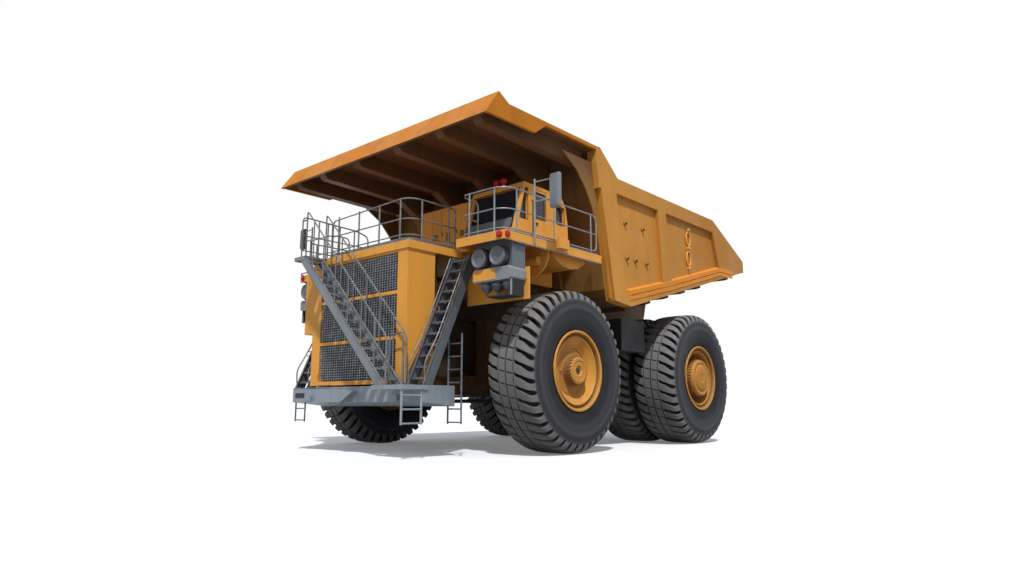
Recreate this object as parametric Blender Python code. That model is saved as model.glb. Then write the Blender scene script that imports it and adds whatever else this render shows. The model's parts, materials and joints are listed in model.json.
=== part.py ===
"""Large mining dump truck: a rigid hauler with a canopied dump body, dual rear wheels and a cab on its left deck.

Metres, +Z up. The truck faces -Y and its left (cab) side is +X. Every length along Y is counted from the
front axle, whose place below the centre of the truck's length is FRONT_AXLE_Y.
"""
import bpy
import bmesh
from math import cos, hypot, pi, radians, sin
from mathutils import Matrix, Vector

for old in list(bpy.data.objects):
    bpy.data.objects.remove(old, do_unlink=True)

# Whole truck
FRONT_AXLE_Y = -2.96
WHEELBASE = 6.42
TOUCH_GAP = 0.0003
PIN_GAP = 0.0005

# Tyres and rims
TYRE_R = 2.0
WHEEL_STEPS = 32
TYRE_HALF_W = 0.71
BEAD_R = 0.93
BEAD_HALF_W = 0.60
FLANGE_R = 0.993
FRONT_WHEEL_X = 3.58
REAR_OUTER_X = 3.62
REAR_INNER_X = 2.04
FRONT_HUB_R = 0.33
REAR_HUB_R = 0.56

# Steering
KINGPIN_X = 2.48
KNUCKLE_R = 0.24
SPINDLE_R = 0.2
STRUT_R = 0.29
ARM_Y = 0.85
TIE_ROD_Z = 1.28
TIE_PIN_R = 0.05

# Dump body
BODY_HALF_W = 4.25
BODY_WALL = 0.1
BODY_FRONT_Y = 1.65
BODY_FRONT_Z = 3.9
BODY_TAIL_Y = 10.19
BODY_TAIL_Z = 5.89
RAIL_TOP_Z = 7.37
CANOPY_TOP_Z = 8.03
CANOPY_FRONT_Y = -3.41
PIVOT_Y = 8.1
PIVOT_Z = 3.62
PIVOT_R = 0.14

# Hoist
HOIST_X = 1.32
HOIST_BASE_Y = 3.0
HOIST_BASE_Z = 1.84
HOIST_EYE_Y = 5.1
HOIST_EYE_Z = 4.1
HOIST_PIN_R = 0.08
PLUNGER_R = 0.14
BORE_START = 0.21

# Front end
RADIATOR_HALF_W = 1.92
RADIATOR_FRONT_Y = -3.57
RADIATOR_REAR_Y = -2.71
GRILLE_HALF_W = 1.56
DECK_TOP_Z = 5.03
FASCIA_DEPTH = 0.2
CENTRE_FASCIA_Z = 4.83
CAB_DECK_X0 = 2.72
CAB_DECK_Y0 = -2.78
DECK_REAR_Y = 1.04
RIGHT_DECK_Y0 = -2.58
BUMPER_HALF_W = 2.61
BUMPER_FRONT_Y = -3.62
BUMPER_REAR_Y = -2.66
BUMPER_TOP_Z = 1.61
PLATFORM_FRONT_Y = -4.27

# Cab
CAB_X0 = 1.83
CAB_X1 = 3.6
CAB_FRONT_Y = -1.32
CAB_RAKE = 0.29
CAB_BASE_Z = DECK_TOP_Z + TOUCH_GAP
CAB_ROOF_Z = 6.64
CAB_WALL = 0.07
CAB_REAR = [(0.15, 6.6), (0.36, 6.3), (0.44, 5.88), (0.46, CAB_BASE_Z)]
DOOR_Y0 = -1.0
DOOR_Y1 = -0.4
DOOR_Z0 = 5.12
DOOR_Z1 = 6.54
DOOR_GAP = 0.007
HINGE_X = CAB_X1 - 0.02
HINGE_Y = DOOR_Y1 - 0.02

# Tubes and stairs
RAIL_R = 0.022
POST_R = 0.029
STAIR_PLATE = 0.03

ORANGE = (0.76, 0.40, 0.10)
BROWN = (0.20, 0.11, 0.05)
GREY = (0.32, 0.35, 0.39)
DARK = (0.05, 0.052, 0.057)
RUBBER = (0.045, 0.05, 0.058)
GLASS = (0.02, 0.024, 0.03)
RED = (0.55, 0.02, 0.02)
STEEL = (0.55, 0.56, 0.58)


def paint(name, colour, roughness, metallic=0.0):
    material = bpy.data.materials.new(name)
    material.use_nodes = True
    shader = material.node_tree.nodes["Principled BSDF"]
    shader.inputs["Base Color"].default_value = (*colour, 1.0)
    shader.inputs["Roughness"].default_value = roughness
    shader.inputs["Metallic"].default_value = metallic
    return material


def empty(name, place, parent=None):
    holder = bpy.data.objects.new(name, None)
    bpy.context.collection.objects.link(holder)
    holder.parent = parent
    holder.location = place
    return holder


truck = empty("truck", (0.0, FRONT_AXLE_Y, 0.0))


class Shape:
    """A solid put together from overlapping closed pieces, with cuts taken from the whole."""

    def __init__(self):
        self.pieces = []
        self.cuts = []

    def box(self, low, high, cut=False):
        piece = bmesh.new()
        centre = [(a + b) / 2 for a, b in zip(low, high)]
        span = [b - a for a, b in zip(low, high)]
        spread = Matrix.Translation(centre) @ Matrix.Diagonal((*span, 1.0))
        bmesh.ops.create_cube(piece, size=1.0, matrix=spread)
        (self.cuts if cut else self.pieces).append(piece)

    def prism(self, axis, start, end, outline, cut=False):
        """Extrude an outline along one axis; the outline is in the other two axes in X, Y, Z order."""
        piece = bmesh.new()
        order = {"x": (2, 0, 1), "y": (0, 2, 1), "z": (0, 1, 2)}[axis]
        ring = []
        for u, v in outline:
            flat = (u, v, start)
            ring.append(piece.verts.new([flat[i] for i in order]))
        face = piece.faces.new(ring)
        grown = bmesh.ops.extrude_face_region(piece, geom=[face])
        step = [0.0, 0.0, 0.0]
        step["xyz".index(axis)] = end - start
        moved = [item for item in grown["geom"] if isinstance(item, bmesh.types.BMVert)]
        bmesh.ops.translate(piece, verts=moved, vec=step)
        bmesh.ops.recalc_face_normals(piece, faces=piece.faces)
        (self.cuts if cut else self.pieces).append(piece)

    def rod(self, start, end, radius, sides=10, cut=False, end_radius=None):
        piece = bmesh.new()
        start = Vector(start)
        end = Vector(end)
        along = end - start
        turn = along.to_track_quat("Z", "Y").to_matrix().to_4x4()
        place = Matrix.Translation((start + end) / 2) @ turn
        top = radius if end_radius is None else end_radius
        bmesh.ops.create_cone(
            piece, cap_ends=True, segments=sides, radius1=radius, radius2=top, depth=along.length, matrix=place
        )
        for face in piece.faces:
            face.smooth = len(face.verts) == 4
        (self.cuts if cut else self.pieces).append(piece)

    def turned(self, centre, outline, sides, cut=False):
        """Spin a closed outline of (along X, radius) points about the X line through centre."""
        piece = bmesh.new()
        ring = []
        for along, radius in outline:
            ring.append(piece.verts.new((centre[0] + along, centre[1], centre[2] + radius)))
        edges = [piece.edges.new((ring[i], ring[(i + 1) % len(ring)])) for i in range(len(ring))]
        bmesh.ops.spin(
            piece, geom=ring + edges, cent=centre, axis=(1, 0, 0), angle=2 * pi, steps=sides, use_merge=True
        )
        bmesh.ops.remove_doubles(piece, verts=piece.verts, dist=0.00005)
        bmesh.ops.recalc_face_normals(piece, faces=piece.faces)
        for face in piece.faces:
            face.smooth = True
        (self.cuts if cut else self.pieces).append(piece)

    def lugged(self, centre, outline, sides):
        """Spin a closed outline of (along X, radius, groove depth, lean) points; every other step is a groove."""
        piece = bmesh.new()
        rings = []
        for along, radius, depth, lean in outline:
            ring = []
            for k in range(sides):
                turn = 2 * pi * (k + lean) / sides
                reach = radius - depth * (k % 2)
                ring.append(
                    piece.verts.new((centre[0] + along, centre[1] - reach * sin(turn), centre[2] + reach * cos(turn)))
                )
            rings.append(ring)
        for lower, upper in zip(rings, rings[1:] + rings[:1]):
            for k in range(sides):
                piece.faces.new((lower[k], lower[(k + 1) % sides], upper[(k + 1) % sides], upper[k]))
        bmesh.ops.recalc_face_normals(piece, faces=piece.faces)
        self.pieces.append(piece)

    def pipe(self, points, radius, sides=4):
        """A round bar along a line of points, mitred at each bend and closed at both ends."""
        piece = bmesh.new()
        line = [Vector(p) for p in points]
        ways = [(b - a).normalized() for a, b in zip(line, line[1:])]
        frame_x = ways[0].orthogonal().normalized()
        rings = []
        for i, spot in enumerate(line):
            before = ways[max(i - 1, 0)]
            after = ways[min(i, len(ways) - 1)]
            frame_y = before.cross(frame_x).normalized()
            plane = (before + after).normalized()
            ring = []
            for k in range(sides):
                turn = 2 * pi * (k + 0.5) / sides
                offset = frame_x * (radius * cos(turn)) + frame_y * (radius * sin(turn))
                slide = -offset.dot(plane) / before.dot(plane)
                ring.append(piece.verts.new(spot + offset + before * slide))
            rings.append(ring)
            frame_x = before.rotation_difference(after) @ frame_x
        for lower, upper in zip(rings, rings[1:]):
            for k in range(sides):
                side = piece.faces.new((lower[k], lower[(k + 1) % sides], upper[(k + 1) % sides], upper[k]))
                side.smooth = True
        piece.faces.new(rings[0][::-1])
        piece.faces.new(rings[-1])
        bmesh.ops.recalc_face_normals(piece, faces=piece.faces)
        self.pieces.append(piece)

    def mirrored(self):
        other = Shape()
        for source, target in ((self.pieces, other.pieces), (self.cuts, other.cuts)):
            for piece in source:
                twin = piece.copy()
                bmesh.ops.scale(twin, vec=(-1, 1, 1), verts=twin.verts)
                bmesh.ops.reverse_faces(twin, faces=twin.faces)
                target.append(twin)
        return other

    def build(self, name, material, parent=truck):
        """Make the object; its mesh is moved so that its origin lies on its parent's empty."""
        shift = Vector((0, 0, 0))
        holder = parent
        while holder is not None and holder is not truck:
            shift += holder.location
            holder = holder.parent
        groups = {"": self.pieces[:1], " joined": self.pieces[1:], " cuts": self.cuts}
        made = {}
        for suffix, shells in groups.items():
            if not shells:
                continue
            gathered = bmesh.new()
            for shell in shells:
                held = bpy.data.meshes.new("shell")
                shell.to_mesh(held)
                gathered.from_mesh(held)
                bpy.data.meshes.remove(held)
            bmesh.ops.translate(gathered, verts=gathered.verts, vec=-shift)
            mesh = bpy.data.meshes.new(name + suffix)
            gathered.to_mesh(mesh)
            gathered.free()
            item = bpy.data.objects.new(name + suffix, mesh)
            bpy.context.collection.objects.link(item)
            item.parent = parent
            made[suffix] = item
        target = made[""]
        target.data.materials.append(material)
        for suffix, operation in ((" joined", "UNION"), (" cuts", "DIFFERENCE")):
            if suffix in made:
                made[suffix].hide_render = True
                made[suffix].display_type = "WIRE"
                joint = target.modifiers.new(operation.lower(), "BOOLEAN")
                joint.object = made[suffix]
                joint.operation = operation
                joint.solver = "EXACT"
                joint.use_self = len(groups[suffix]) > 1
        return target


def bore(radius, sides):
    """Radius of a faceted hole whose flats clear a shaft of this radius."""
    return (radius + PIN_GAP) / cos(pi / sides)


def arc(centre, radius, start, end, steps):
    """Points on an arc in a plane, angles in degrees."""
    turns = [radians(start + (end - start) * i / steps) for i in range(steps + 1)]
    return [(centre[0] + radius * cos(t), centre[1] + radius * sin(t)) for t in turns]


orange = paint("orange_paint", ORANGE, 0.5)
brown = paint("shaded_brown_paint", BROWN, 0.6)
grey = paint("galvanised_grey", GREY, 0.55, 0.4)
dark = paint("dark_paint", DARK, 0.6)
rubber = paint("tyre_rubber", RUBBER, 0.85)
glass = paint("tinted_glass", GLASS, 0.1)
red = paint("red_lamp", RED, 0.3)
steel = paint("bright_steel", STEEL, 0.25, 1.0)

# Frame: two box rails that rise over the rear axle, cross members, the front uprights and the pivot ears
RAIL_X0 = 0.7
RAIL_X1 = 1.08
FRAME_FRONT_Y = BUMPER_REAR_Y + TOUCH_GAP
RAIL_SIDE = [(FRAME_FRONT_Y, 1.3), (FRAME_FRONT_Y, 1.85), (2.6, 2.05), (4.1, 3.22), (8.5, 3.3), (8.5, 2.95), (4.6, 2.86), (2.95, 1.5),
             (0.5, 1.42)]
UPRIGHT_Y0 = -0.32
UPRIGHT_Y1 = 0.32
BEAM_Z0 = 3.45
BEAM_Z1 = 4.12
frame = Shape()
frame.prism("x", RAIL_X0, RAIL_X1, RAIL_SIDE)
frame.prism("x", -RAIL_X1, -RAIL_X0, RAIL_SIDE)
for y0, y1, z0, z1 in ((-2.6, -2.3, 1.32, 1.8), (-0.3, 0.3, 1.45, 1.8), (2.7, 3.3, 1.55, 2.1), (4.7, 5.1, 2.92, 3.18),
                       (7.9, 8.3, 3.0, 3.26)):
    frame.box((-0.9, y0, z0), (0.9, y1, z1))
for side in (-1, 1):
    inner, outer = sorted((side * 1.0, side * 1.42))
    frame.box((inner, UPRIGHT_Y0, 1.6), (outer, UPRIGHT_Y1, BEAM_Z0 - TOUCH_GAP))
    inner, outer = sorted((side * 0.62, side * 1.16))
    frame.box((inner, 7.86, 3.02), (outer, 8.34, 3.3))
    for ear in (0.76, 1.14):
        inner, outer = sorted((side * ear, side * (ear - 0.1)))
        frame.prism("x", inner, outer, [(7.84, 3.2)] + arc((PIVOT_Y, PIVOT_Z), 0.26, 180, 0, 5) + [(8.36, 3.2)])
    frame.rod((side * 0.6, PIVOT_Y, PIVOT_Z), (side * 1.2, PIVOT_Y, PIVOT_Z), PIVOT_R, 14)
    frame.rod((side * 1.0, HOIST_BASE_Y, HOIST_BASE_Z), (side * (HOIST_X + 0.24), HOIST_BASE_Y, HOIST_BASE_Z), HOIST_PIN_R, 14)
    for x in (HOIST_X - 0.225, HOIST_X + 0.225):
        inner, outer = sorted((side * (x - 0.025), side * (x + 0.025)))
        frame.box((inner, 2.86, 1.5), (outer, 3.14, 1.99))
    inner, outer = sorted((side * 0.9, side * (HOIST_X + 0.26)))
    frame.box((inner, 2.7, 1.45), (outer, 3.3, 1.6))
    inner, outer = sorted((side * 0.9, side * 1.85))
    frame.box((inner, -2.6, 1.35), (outer, -2.35, 1.75))
    inner, outer = sorted((side * 1.5, side * 1.66))
    frame.box((inner, -2.55, 1.4), (outer, -2.4, 4.84))
frame.build("frame", brown)

# Front suspension: a cross beam on the frame's uprights with an upright cylinder at each end
STRUT_Z0 = 2.72
STRUT_Z1 = 4.2
struts = Shape()
struts.box((-KINGPIN_X, -0.26, BEAM_Z0), (KINGPIN_X, 0.26, BEAM_Z1))
for side in (-1, 1):
    x = side * KINGPIN_X
    struts.rod((x, 0, STRUT_Z0), (x, 0, STRUT_Z1), STRUT_R, 14)
    struts.rod((x, 0, STRUT_Z0 - 0.01), (x, 0, STRUT_Z0 + 0.14), STRUT_R + 0.05, 14)
    struts.rod((x, 0, STRUT_Z1 - 0.12), (x, 0, STRUT_Z1 + 0.01), STRUT_R + 0.04, 14)
    struts.box((side * 1.21 - 0.12, -0.15, 4.0), (side * 1.21 + 0.12, 0.15, 4.98 - TOUCH_GAP))
struts.build("front_struts", orange)

# Knuckles: rod, kingpin post, spindle and a steering arm behind the axle, turning about the strut's centre line


def knuckle():
    piece = Shape()
    piece.rod((KINGPIN_X, 0, 1.45), (KINGPIN_X, 0, 2.55), KNUCKLE_R, 14)
    piece.rod((KINGPIN_X, 0, 2.5), (KINGPIN_X, 0, STRUT_Z0 - 0.01 - PIN_GAP), 0.2, 14)
    piece.rod((KINGPIN_X, 0, TYRE_R), (FRONT_WHEEL_X + 0.16, 0, TYRE_R), SPINDLE_R, 12)
    piece.rod((KINGPIN_X, 0, TYRE_R), (KINGPIN_X + 0.42, 0, TYRE_R), 0.34, 14, end_radius=0.3)
    piece.prism("z", TIE_ROD_Z + 0.1, TIE_ROD_Z + 0.28, [(KINGPIN_X - 0.2, 0), (KINGPIN_X + 0.2, 0),
                (KINGPIN_X + 0.1, ARM_Y), (KINGPIN_X + 0.05, ARM_Y + 0.1), (KINGPIN_X - 0.1, ARM_Y + 0.1),
                (KINGPIN_X - 0.15, ARM_Y)])
    piece.rod((KINGPIN_X, ARM_Y, TIE_ROD_Z - 0.1), (KINGPIN_X, ARM_Y, TIE_ROD_Z + 0.12), TIE_PIN_R, 12)
    return piece


steer_left = empty("steer_left", (KINGPIN_X, 0.0, TYRE_R), truck)
steer_right = empty("steer_right", (-KINGPIN_X, 0.0, TYRE_R), truck)
knuckle_left = knuckle()
knuckle_left.mirrored().build("knuckle_right", brown, steer_right)
knuckle_left.build("knuckle_left", brown, steer_left)

tie_pin = empty("tie_rod_pin", (0.0, ARM_Y, TIE_ROD_Z - TYRE_R), steer_left)
tie = Shape()
tie.rod((-KINGPIN_X + 0.1, ARM_Y, TIE_ROD_Z), (KINGPIN_X - 0.1, ARM_Y, TIE_ROD_Z), 0.055, 12)
for side in (-1, 1):
    tie.rod((side * KINGPIN_X, ARM_Y, TIE_ROD_Z - 0.07), (side * KINGPIN_X, ARM_Y, TIE_ROD_Z + 0.07), 0.11, 12)
    tie.rod((side * KINGPIN_X, ARM_Y, TIE_ROD_Z - 0.2), (side * KINGPIN_X, ARM_Y, TIE_ROD_Z + 0.2), bore(TIE_PIN_R, 14), 14, cut=True)
tie.build("tie_rod", dark, tie_pin)

# Wheels: deep-dished front rims with a flush hub, twin rear rims on one planetary hub, and plain-sided tyres
FRONT_RIM = [(-0.6, 0.87), (-0.64, FLANGE_R), (-0.601, BEAD_R - TOUCH_GAP), (0.601, BEAD_R - TOUCH_GAP),
             (0.618, FLANGE_R), (0.646, FLANGE_R), (0.646, 0.945), (0.53, 0.9), (0.53, 0.865), (0.575, 0.85),
             (0.575, 0.8), (0.2, 0.72), (0.2, FRONT_HUB_R + 0.03), (0.63, FRONT_HUB_R), (0.65, FRONT_HUB_R - 0.04),
             (0.65, 0.06), (0.18, 0.06), (0.18, bore(SPINDLE_R, WHEEL_STEPS)),
             (-0.35, bore(SPINDLE_R, WHEEL_STEPS)), (0.1, 0.46), (0.1, 0.8)]
LUG_LEAN = 0.45
TYRE_SIDE = [(0.6, BEAD_R, 0.0, 0.0), (0.655, 1.15, 0.0, 0.0), (TYRE_HALF_W, 1.5, 0.0, 0.0),
             (0.672, 1.79, 0.0, 0.0), (0.61, 1.93, 0.1, 0.0), (0.44, TYRE_R, 0.1, -LUG_LEAN)]
TYRE_BACK = [(-x, r, depth, -lean) for x, r, depth, lean in reversed(TYRE_SIDE)]
TREAD_MIDDLE = [(0.0, TYRE_R, 0.0, 0.0)]


def wheel_empty(name, x, y, parent):
    base = Vector((KINGPIN_X * (1 if x > 0 else -1), 0, TYRE_R)) if parent is not truck else Vector((0, 0, 0))
    return empty(name, Vector((x, y, TYRE_R)) - base, parent)


spin_fl = wheel_empty("spin_front_left", FRONT_WHEEL_X, 0.0, steer_left)
spin_fr = wheel_empty("spin_front_right", -FRONT_WHEEL_X, 0.0, steer_right)
spin_rl = wheel_empty("spin_rear_left", REAR_OUTER_X, WHEELBASE, truck)
spin_rr = wheel_empty("spin_rear_right", -REAR_OUTER_X, WHEELBASE, truck)

rim = Shape()
rim.turned((FRONT_WHEEL_X, 0, TYRE_R), [(x, max(r, 0.06)) for x, r in FRONT_RIM], WHEEL_STEPS)
rim.rod((FRONT_WHEEL_X + 0.4, 0, TYRE_R), (FRONT_WHEEL_X + 0.66, 0, TYRE_R), 0.16, 12)
rim.mirrored().build("front_rim_right", orange, spin_fr)
rim.build("front_rim_left", orange, spin_fl)
front_tyre = Shape()
front_tyre.lugged((FRONT_WHEEL_X, 0, TYRE_R), TYRE_SIDE + TREAD_MIDDLE + TYRE_BACK, WHEEL_STEPS)
front_tyre.mirrored().build("front_tyre_right", rubber, spin_fr)
front_tyre.build("front_tyre_left", rubber, spin_fl)

AXLE_STUB_R = 0.36
DUAL_SPAN = REAR_OUTER_X - REAR_INNER_X
REAR_RIM = [(-DUAL_SPAN - 0.6, 0.87), (-DUAL_SPAN - 0.64, FLANGE_R), (-DUAL_SPAN - 0.601, BEAD_R - TOUCH_GAP),
            (0.601, BEAD_R - TOUCH_GAP), (0.618, FLANGE_R), (0.646, FLANGE_R), (0.646, 0.945), (0.54, 0.9),
            (0.57, 0.84), (0.44, 0.78), (0.12, 0.74), (0.1, REAR_HUB_R), (0.66, REAR_HUB_R),
            (0.68, REAR_HUB_R - 0.04), (0.68, 0.05), (-0.9, 0.05), (-0.9, bore(AXLE_STUB_R, WHEEL_STEPS)),
            (-DUAL_SPAN - 0.5, bore(AXLE_STUB_R, WHEEL_STEPS)), (-0.3, 0.66), (-0.3, 0.84)]
rear_rim = Shape()
rear_rim.turned((REAR_OUTER_X, WHEELBASE, TYRE_R), REAR_RIM, WHEEL_STEPS)
rear_rim.rod((REAR_OUTER_X, WHEELBASE, TYRE_R), (REAR_OUTER_X + 0.7, WHEELBASE, TYRE_R), 0.16, 12)
rear_rim.mirrored().build("rear_rims_right", orange, spin_rr)
rear_rim.build("rear_rims_left", orange, spin_rl)
BAND_R = 1.02
TWIN = TYRE_SIDE + TREAD_MIDDLE + TYRE_BACK[:-1] + [(-0.62, BAND_R, 0.0, 0.0), (0.62 - DUAL_SPAN, BAND_R, 0.0, 0.0)]
TWIN += [(x - DUAL_SPAN, r, depth, lean) for x, r, depth, lean in TYRE_SIDE[1:] + TREAD_MIDDLE + TYRE_BACK]
rear_tyres = Shape()
rear_tyres.lugged((REAR_OUTER_X, WHEELBASE, TYRE_R), TWIN, WHEEL_STEPS)
rear_tyres.mirrored().build("rear_tyres_right", rubber, spin_rr)
rear_tyres.build("rear_tyres_left", rubber, spin_rl)

# Rear axle: a drum-shaped housing between the twin wheels, stubs into the hubs, and its suspension
axle = Shape()
axle.turned((0, WHEELBASE, TYRE_R), [(-1.22, 0.3), (-1.22, 0.62), (-0.8, 0.78), (0.8, 0.78), (1.22, 0.62), (1.22, 0.3)],
            20)
axle.rod((-2.55, WHEELBASE, TYRE_R), (2.55, WHEELBASE, TYRE_R), AXLE_STUB_R, 12)
axle.rod((-1.0, WHEELBASE, TYRE_R), (1.0, WHEELBASE, TYRE_R), 0.5, 14)
axle.prism("x", -0.4, 0.4, [(3.3 + TOUCH_GAP, 1.6), (3.3 + TOUCH_GAP, 2.05), (6.0, 2.5), (6.0, 1.4)])
axle.build("rear_axle", brown)


# Dump body, turning about the pivot pins behind the rear axle
FLOOR_SLOPE = (BODY_TAIL_Z - 3.84) / (BODY_TAIL_Y - 2.46)
SIDE_OUT = BODY_HALF_W
SIDE_IN = BODY_HALF_W - 0.3
POST_TOP_Y = 1.1
WING_Y = 1.93
RAIL_END_Y = 7.82


def under_z(y):
    """Height of the body's underside at the side, which rises to the tail."""
    return 3.84 + (y - 2.46) * FLOOR_SLOPE


body_pivot = empty("body_pivot", (0.0, PIVOT_Y, PIVOT_Z), truck)
PANEL_X0 = BODY_HALF_W - 0.2
PANEL_X1 = BODY_HALF_W - 0.12


def body_side():
    side = Shape()
    outline = [(1.62, 4.0), (2.46, under_z(2.46)), (BODY_TAIL_Y, BODY_TAIL_Z), (BODY_TAIL_Y - 0.02, 6.29),
               (RAIL_END_Y, RAIL_TOP_Z), (WING_Y, RAIL_TOP_Z), (1.12, 6.95)]
    side.prism("x", PANEL_X0, PANEL_X1, outline)
    side.prism("x", SIDE_IN, SIDE_OUT, [(1.3, 6.93), (RAIL_END_Y - 0.1, 6.95), (BODY_TAIL_Y - 0.03, 5.93),
               (BODY_TAIL_Y - 0.03, 6.28), (RAIL_END_Y, RAIL_TOP_Z), (WING_Y, RAIL_TOP_Z)])
    side.prism("x", SIDE_IN, SIDE_OUT, [(1.66, 3.93), (2.2, 3.86), (1.82, 7.1), (1.1, 6.95)])
    side.prism("x", PANEL_X0 - 0.02, SIDE_OUT, [(4.09, 7.0), (4.56, 7.0), (4.85, 4.6), (4.34, 4.45)])
    side.prism("x", PANEL_X0 - 0.02, SIDE_OUT, [(7.73, 7.1), (BODY_TAIL_Y - 0.06, 6.1), (BODY_TAIL_Y - 0.06, 5.88),
               (8.25, 5.45)])
    low = 0.3
    side.prism("x", SIDE_IN, SIDE_OUT, [(1.7, 3.95), (2.46, under_z(2.46)), (BODY_TAIL_Y - 0.04, BODY_TAIL_Z),
               (BODY_TAIL_Y - 0.04, BODY_TAIL_Z + 0.2), (9.16, 5.82), (2.5, under_z(2.5) + low), (2.0, 4.3)])
    side.prism("x", SIDE_IN, SIDE_OUT, [(1.0, 6.9), (1.8, 7.08), (WING_Y, RAIL_TOP_Z), (1.07, CANOPY_TOP_Z + 0.02),
               (0.9, CANOPY_TOP_Z), (0.9, 7.6)])
    for y, z in ((2.4, 6.2), (3.35, 6.2), (2.45, 5.2), (2.9, 5.2), (3.5, 5.2)):
        side.rod((PANEL_X1 - 0.02, y, z), (PANEL_X1 + 0.05, y, z), 0.05, 8)
    return side


side_left = body_side()
side_left.mirrored().build("body_side_right", orange, body_pivot)
side_left.build("body_side_left", orange, body_pivot)

INNER_X = SIDE_IN - TOUCH_GAP
floor = Shape()
floor.prism("x", -INNER_X, INNER_X, [(1.72, 4.05), (2.46, under_z(2.46) + 0.04), (BODY_TAIL_Y - 0.02, BODY_TAIL_Z + 0.02),
            (BODY_TAIL_Y - 0.02, BODY_TAIL_Z + 0.14), (2.46, under_z(2.46) + 0.2), (1.72, 4.2)])
for y in (2.6, 3.7, 4.8, 5.9, 7.0, 9.2):
    floor.prism("x", -INNER_X, INNER_X, [(y, under_z(y) - 0.12), (y + 0.3, under_z(y + 0.3) - 0.12),
                (y + 0.3, under_z(y + 0.3) + 0.1), (y, under_z(y) + 0.1)])
for side in (-1, 1):
    inner, outer = sorted((side * 0.78, side * 1.02))
    floor.prism("x", inner + 0.02, outer - 0.02, [(2.2, 3.95), (2.2, 3.6), (7.5, 3.42), (8.36, 3.6), (9.0, under_z(9.0))])
    floor.rod((side * 0.79, PIVOT_Y, PIVOT_Z), (side * 1.01, PIVOT_Y, PIVOT_Z), 0.26, 14)
    floor.rod((side * 0.5, PIVOT_Y, PIVOT_Z), (side * 1.3, PIVOT_Y, PIVOT_Z), bore(PIVOT_R, 16), 16, cut=True)
for x in (-HOIST_X, HOIST_X):
    for lug in (-0.17, 0.17):
        floor.prism("x", x + lug - 0.03, x + lug + 0.03, [(4.82, 4.6), (4.9, 3.95), (5.3, 3.95), (5.5, 4.7)])
        start, end = sorted((lug, lug * 1.35))
        floor.rod((x + start, HOIST_EYE_Y, HOIST_EYE_Z), (x + end, HOIST_EYE_Y, HOIST_EYE_Z), 0.09, 12)
floor.build("body_floor", brown, body_pivot)

wall = Shape()
wall.prism("x", -INNER_X, INNER_X, [(1.6, 4.25), (1.72 - TOUCH_GAP, 4.06), (1.72 - TOUCH_GAP, 4.3), (1.21, 7.0),
           (1.1, 7.98), (0.98, 7.98), (1.08, 7.0)])
for x in (-2.45, -0.85, 0.85, 2.45):
    wall.prism("x", x - 0.14, x + 0.14, [(1.1, 7.5), (0.32, 7.15), (1.22, 6.1), (1.35, 6.1)])
    wall.prism("x", x - 0.12, x + 0.12, [(1.1, 6.6), (1.0, 6.3), (1.48, 4.4), (1.7, 4.4)])
wall.box((-BODY_HALF_W, -2.7, 7.93), (BODY_HALF_W, 0.9 - TOUCH_GAP, CANOPY_TOP_Z))
wall.box((-INNER_X, 0.8, 7.93), (INNER_X, 1.12, CANOPY_TOP_Z))
wall.prism("x", -BODY_HALF_W, BODY_HALF_W, [(CANOPY_FRONT_Y, 7.6), (-2.97, 8.23), (-2.6, CANOPY_TOP_Z - 0.01),
             (-2.6, 7.94), (-2.93, 7.94), (-3.31, 7.6)])
for side in (-1, 1):
    inner, outer = sorted((side * (BODY_HALF_W - 0.08), side * (BODY_HALF_W - 0.0005)))
    wall.prism("x", inner, outer, [(-3.38, 7.61), (-2.9, 8.0), (-1.15, 8.0), (-1.68, 7.62)])
for x in (-2.45, -0.85, 0.85, 2.45):
    wall.prism("x", x - 0.13, x + 0.13, [(-3.2, 7.72), (-3.05, 7.56), (-0.26, 7.5), (0.3, 7.17), (0.98, 7.48), (0.9, 7.94),
                 (-3.0, 7.94)])
for side in (-1, 1):
    x = side * 3.72
    wall.prism("x", x - 0.13, x + 0.13, [(-3.2, 7.72), (-3.05, 7.56), (0.6, 7.5), (0.88, 7.94), (-3.0, 7.94)])
wall.build("front_wall_canopy", brown, body_pivot)


# Hoist cylinders: a barrel hinged on the frame and a rod whose eye takes the body's pin
HOIST_REACH = hypot(HOIST_EYE_Y - HOIST_BASE_Y, HOIST_EYE_Z - HOIST_BASE_Z)
HOIST_WAY = Vector((0, (HOIST_EYE_Y - HOIST_BASE_Y) / HOIST_REACH, (HOIST_EYE_Z - HOIST_BASE_Z) / HOIST_REACH))
for label, side in (("left", 1), ("right", -1)):
    x = side * HOIST_X
    foot = Vector((x, HOIST_BASE_Y, HOIST_BASE_Z))
    eye = Vector((x, HOIST_EYE_Y, HOIST_EYE_Z))
    holder = empty("hoist_foot_" + label, foot, truck)
    barrel = Shape()
    barrel.rod(foot + HOIST_WAY * 0.12, foot + HOIST_WAY * (HOIST_REACH - 0.35), 0.19, 14)
    barrel.rod(foot - Vector((0.1, 0, 0)), foot + Vector((0.1, 0, 0)), 0.16, 14)
    barrel.rod(foot + HOIST_WAY * BORE_START, foot + HOIST_WAY * (HOIST_REACH - 0.3), bore(PLUNGER_R, 16), 16, cut=True)
    barrel.rod(foot - Vector((0.3, 0, 0)), foot + Vector((0.3, 0, 0)), bore(HOIST_PIN_R, 16), 16, cut=True)
    barrel.build("hoist_barrel_" + label, dark, holder)
    slider = empty("hoist_rod_" + label + "_slide", eye - foot, holder)
    plunger = Shape()
    plunger.rod(foot + HOIST_WAY * (BORE_START + 0.01), eye - HOIST_WAY * 0.05, PLUNGER_R, 14)
    plunger.rod(eye - Vector((0.1, 0, 0)), eye + Vector((0.1, 0, 0)), 0.17, 14)
    plunger.build("hoist_rod_" + label, steel, slider)

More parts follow.
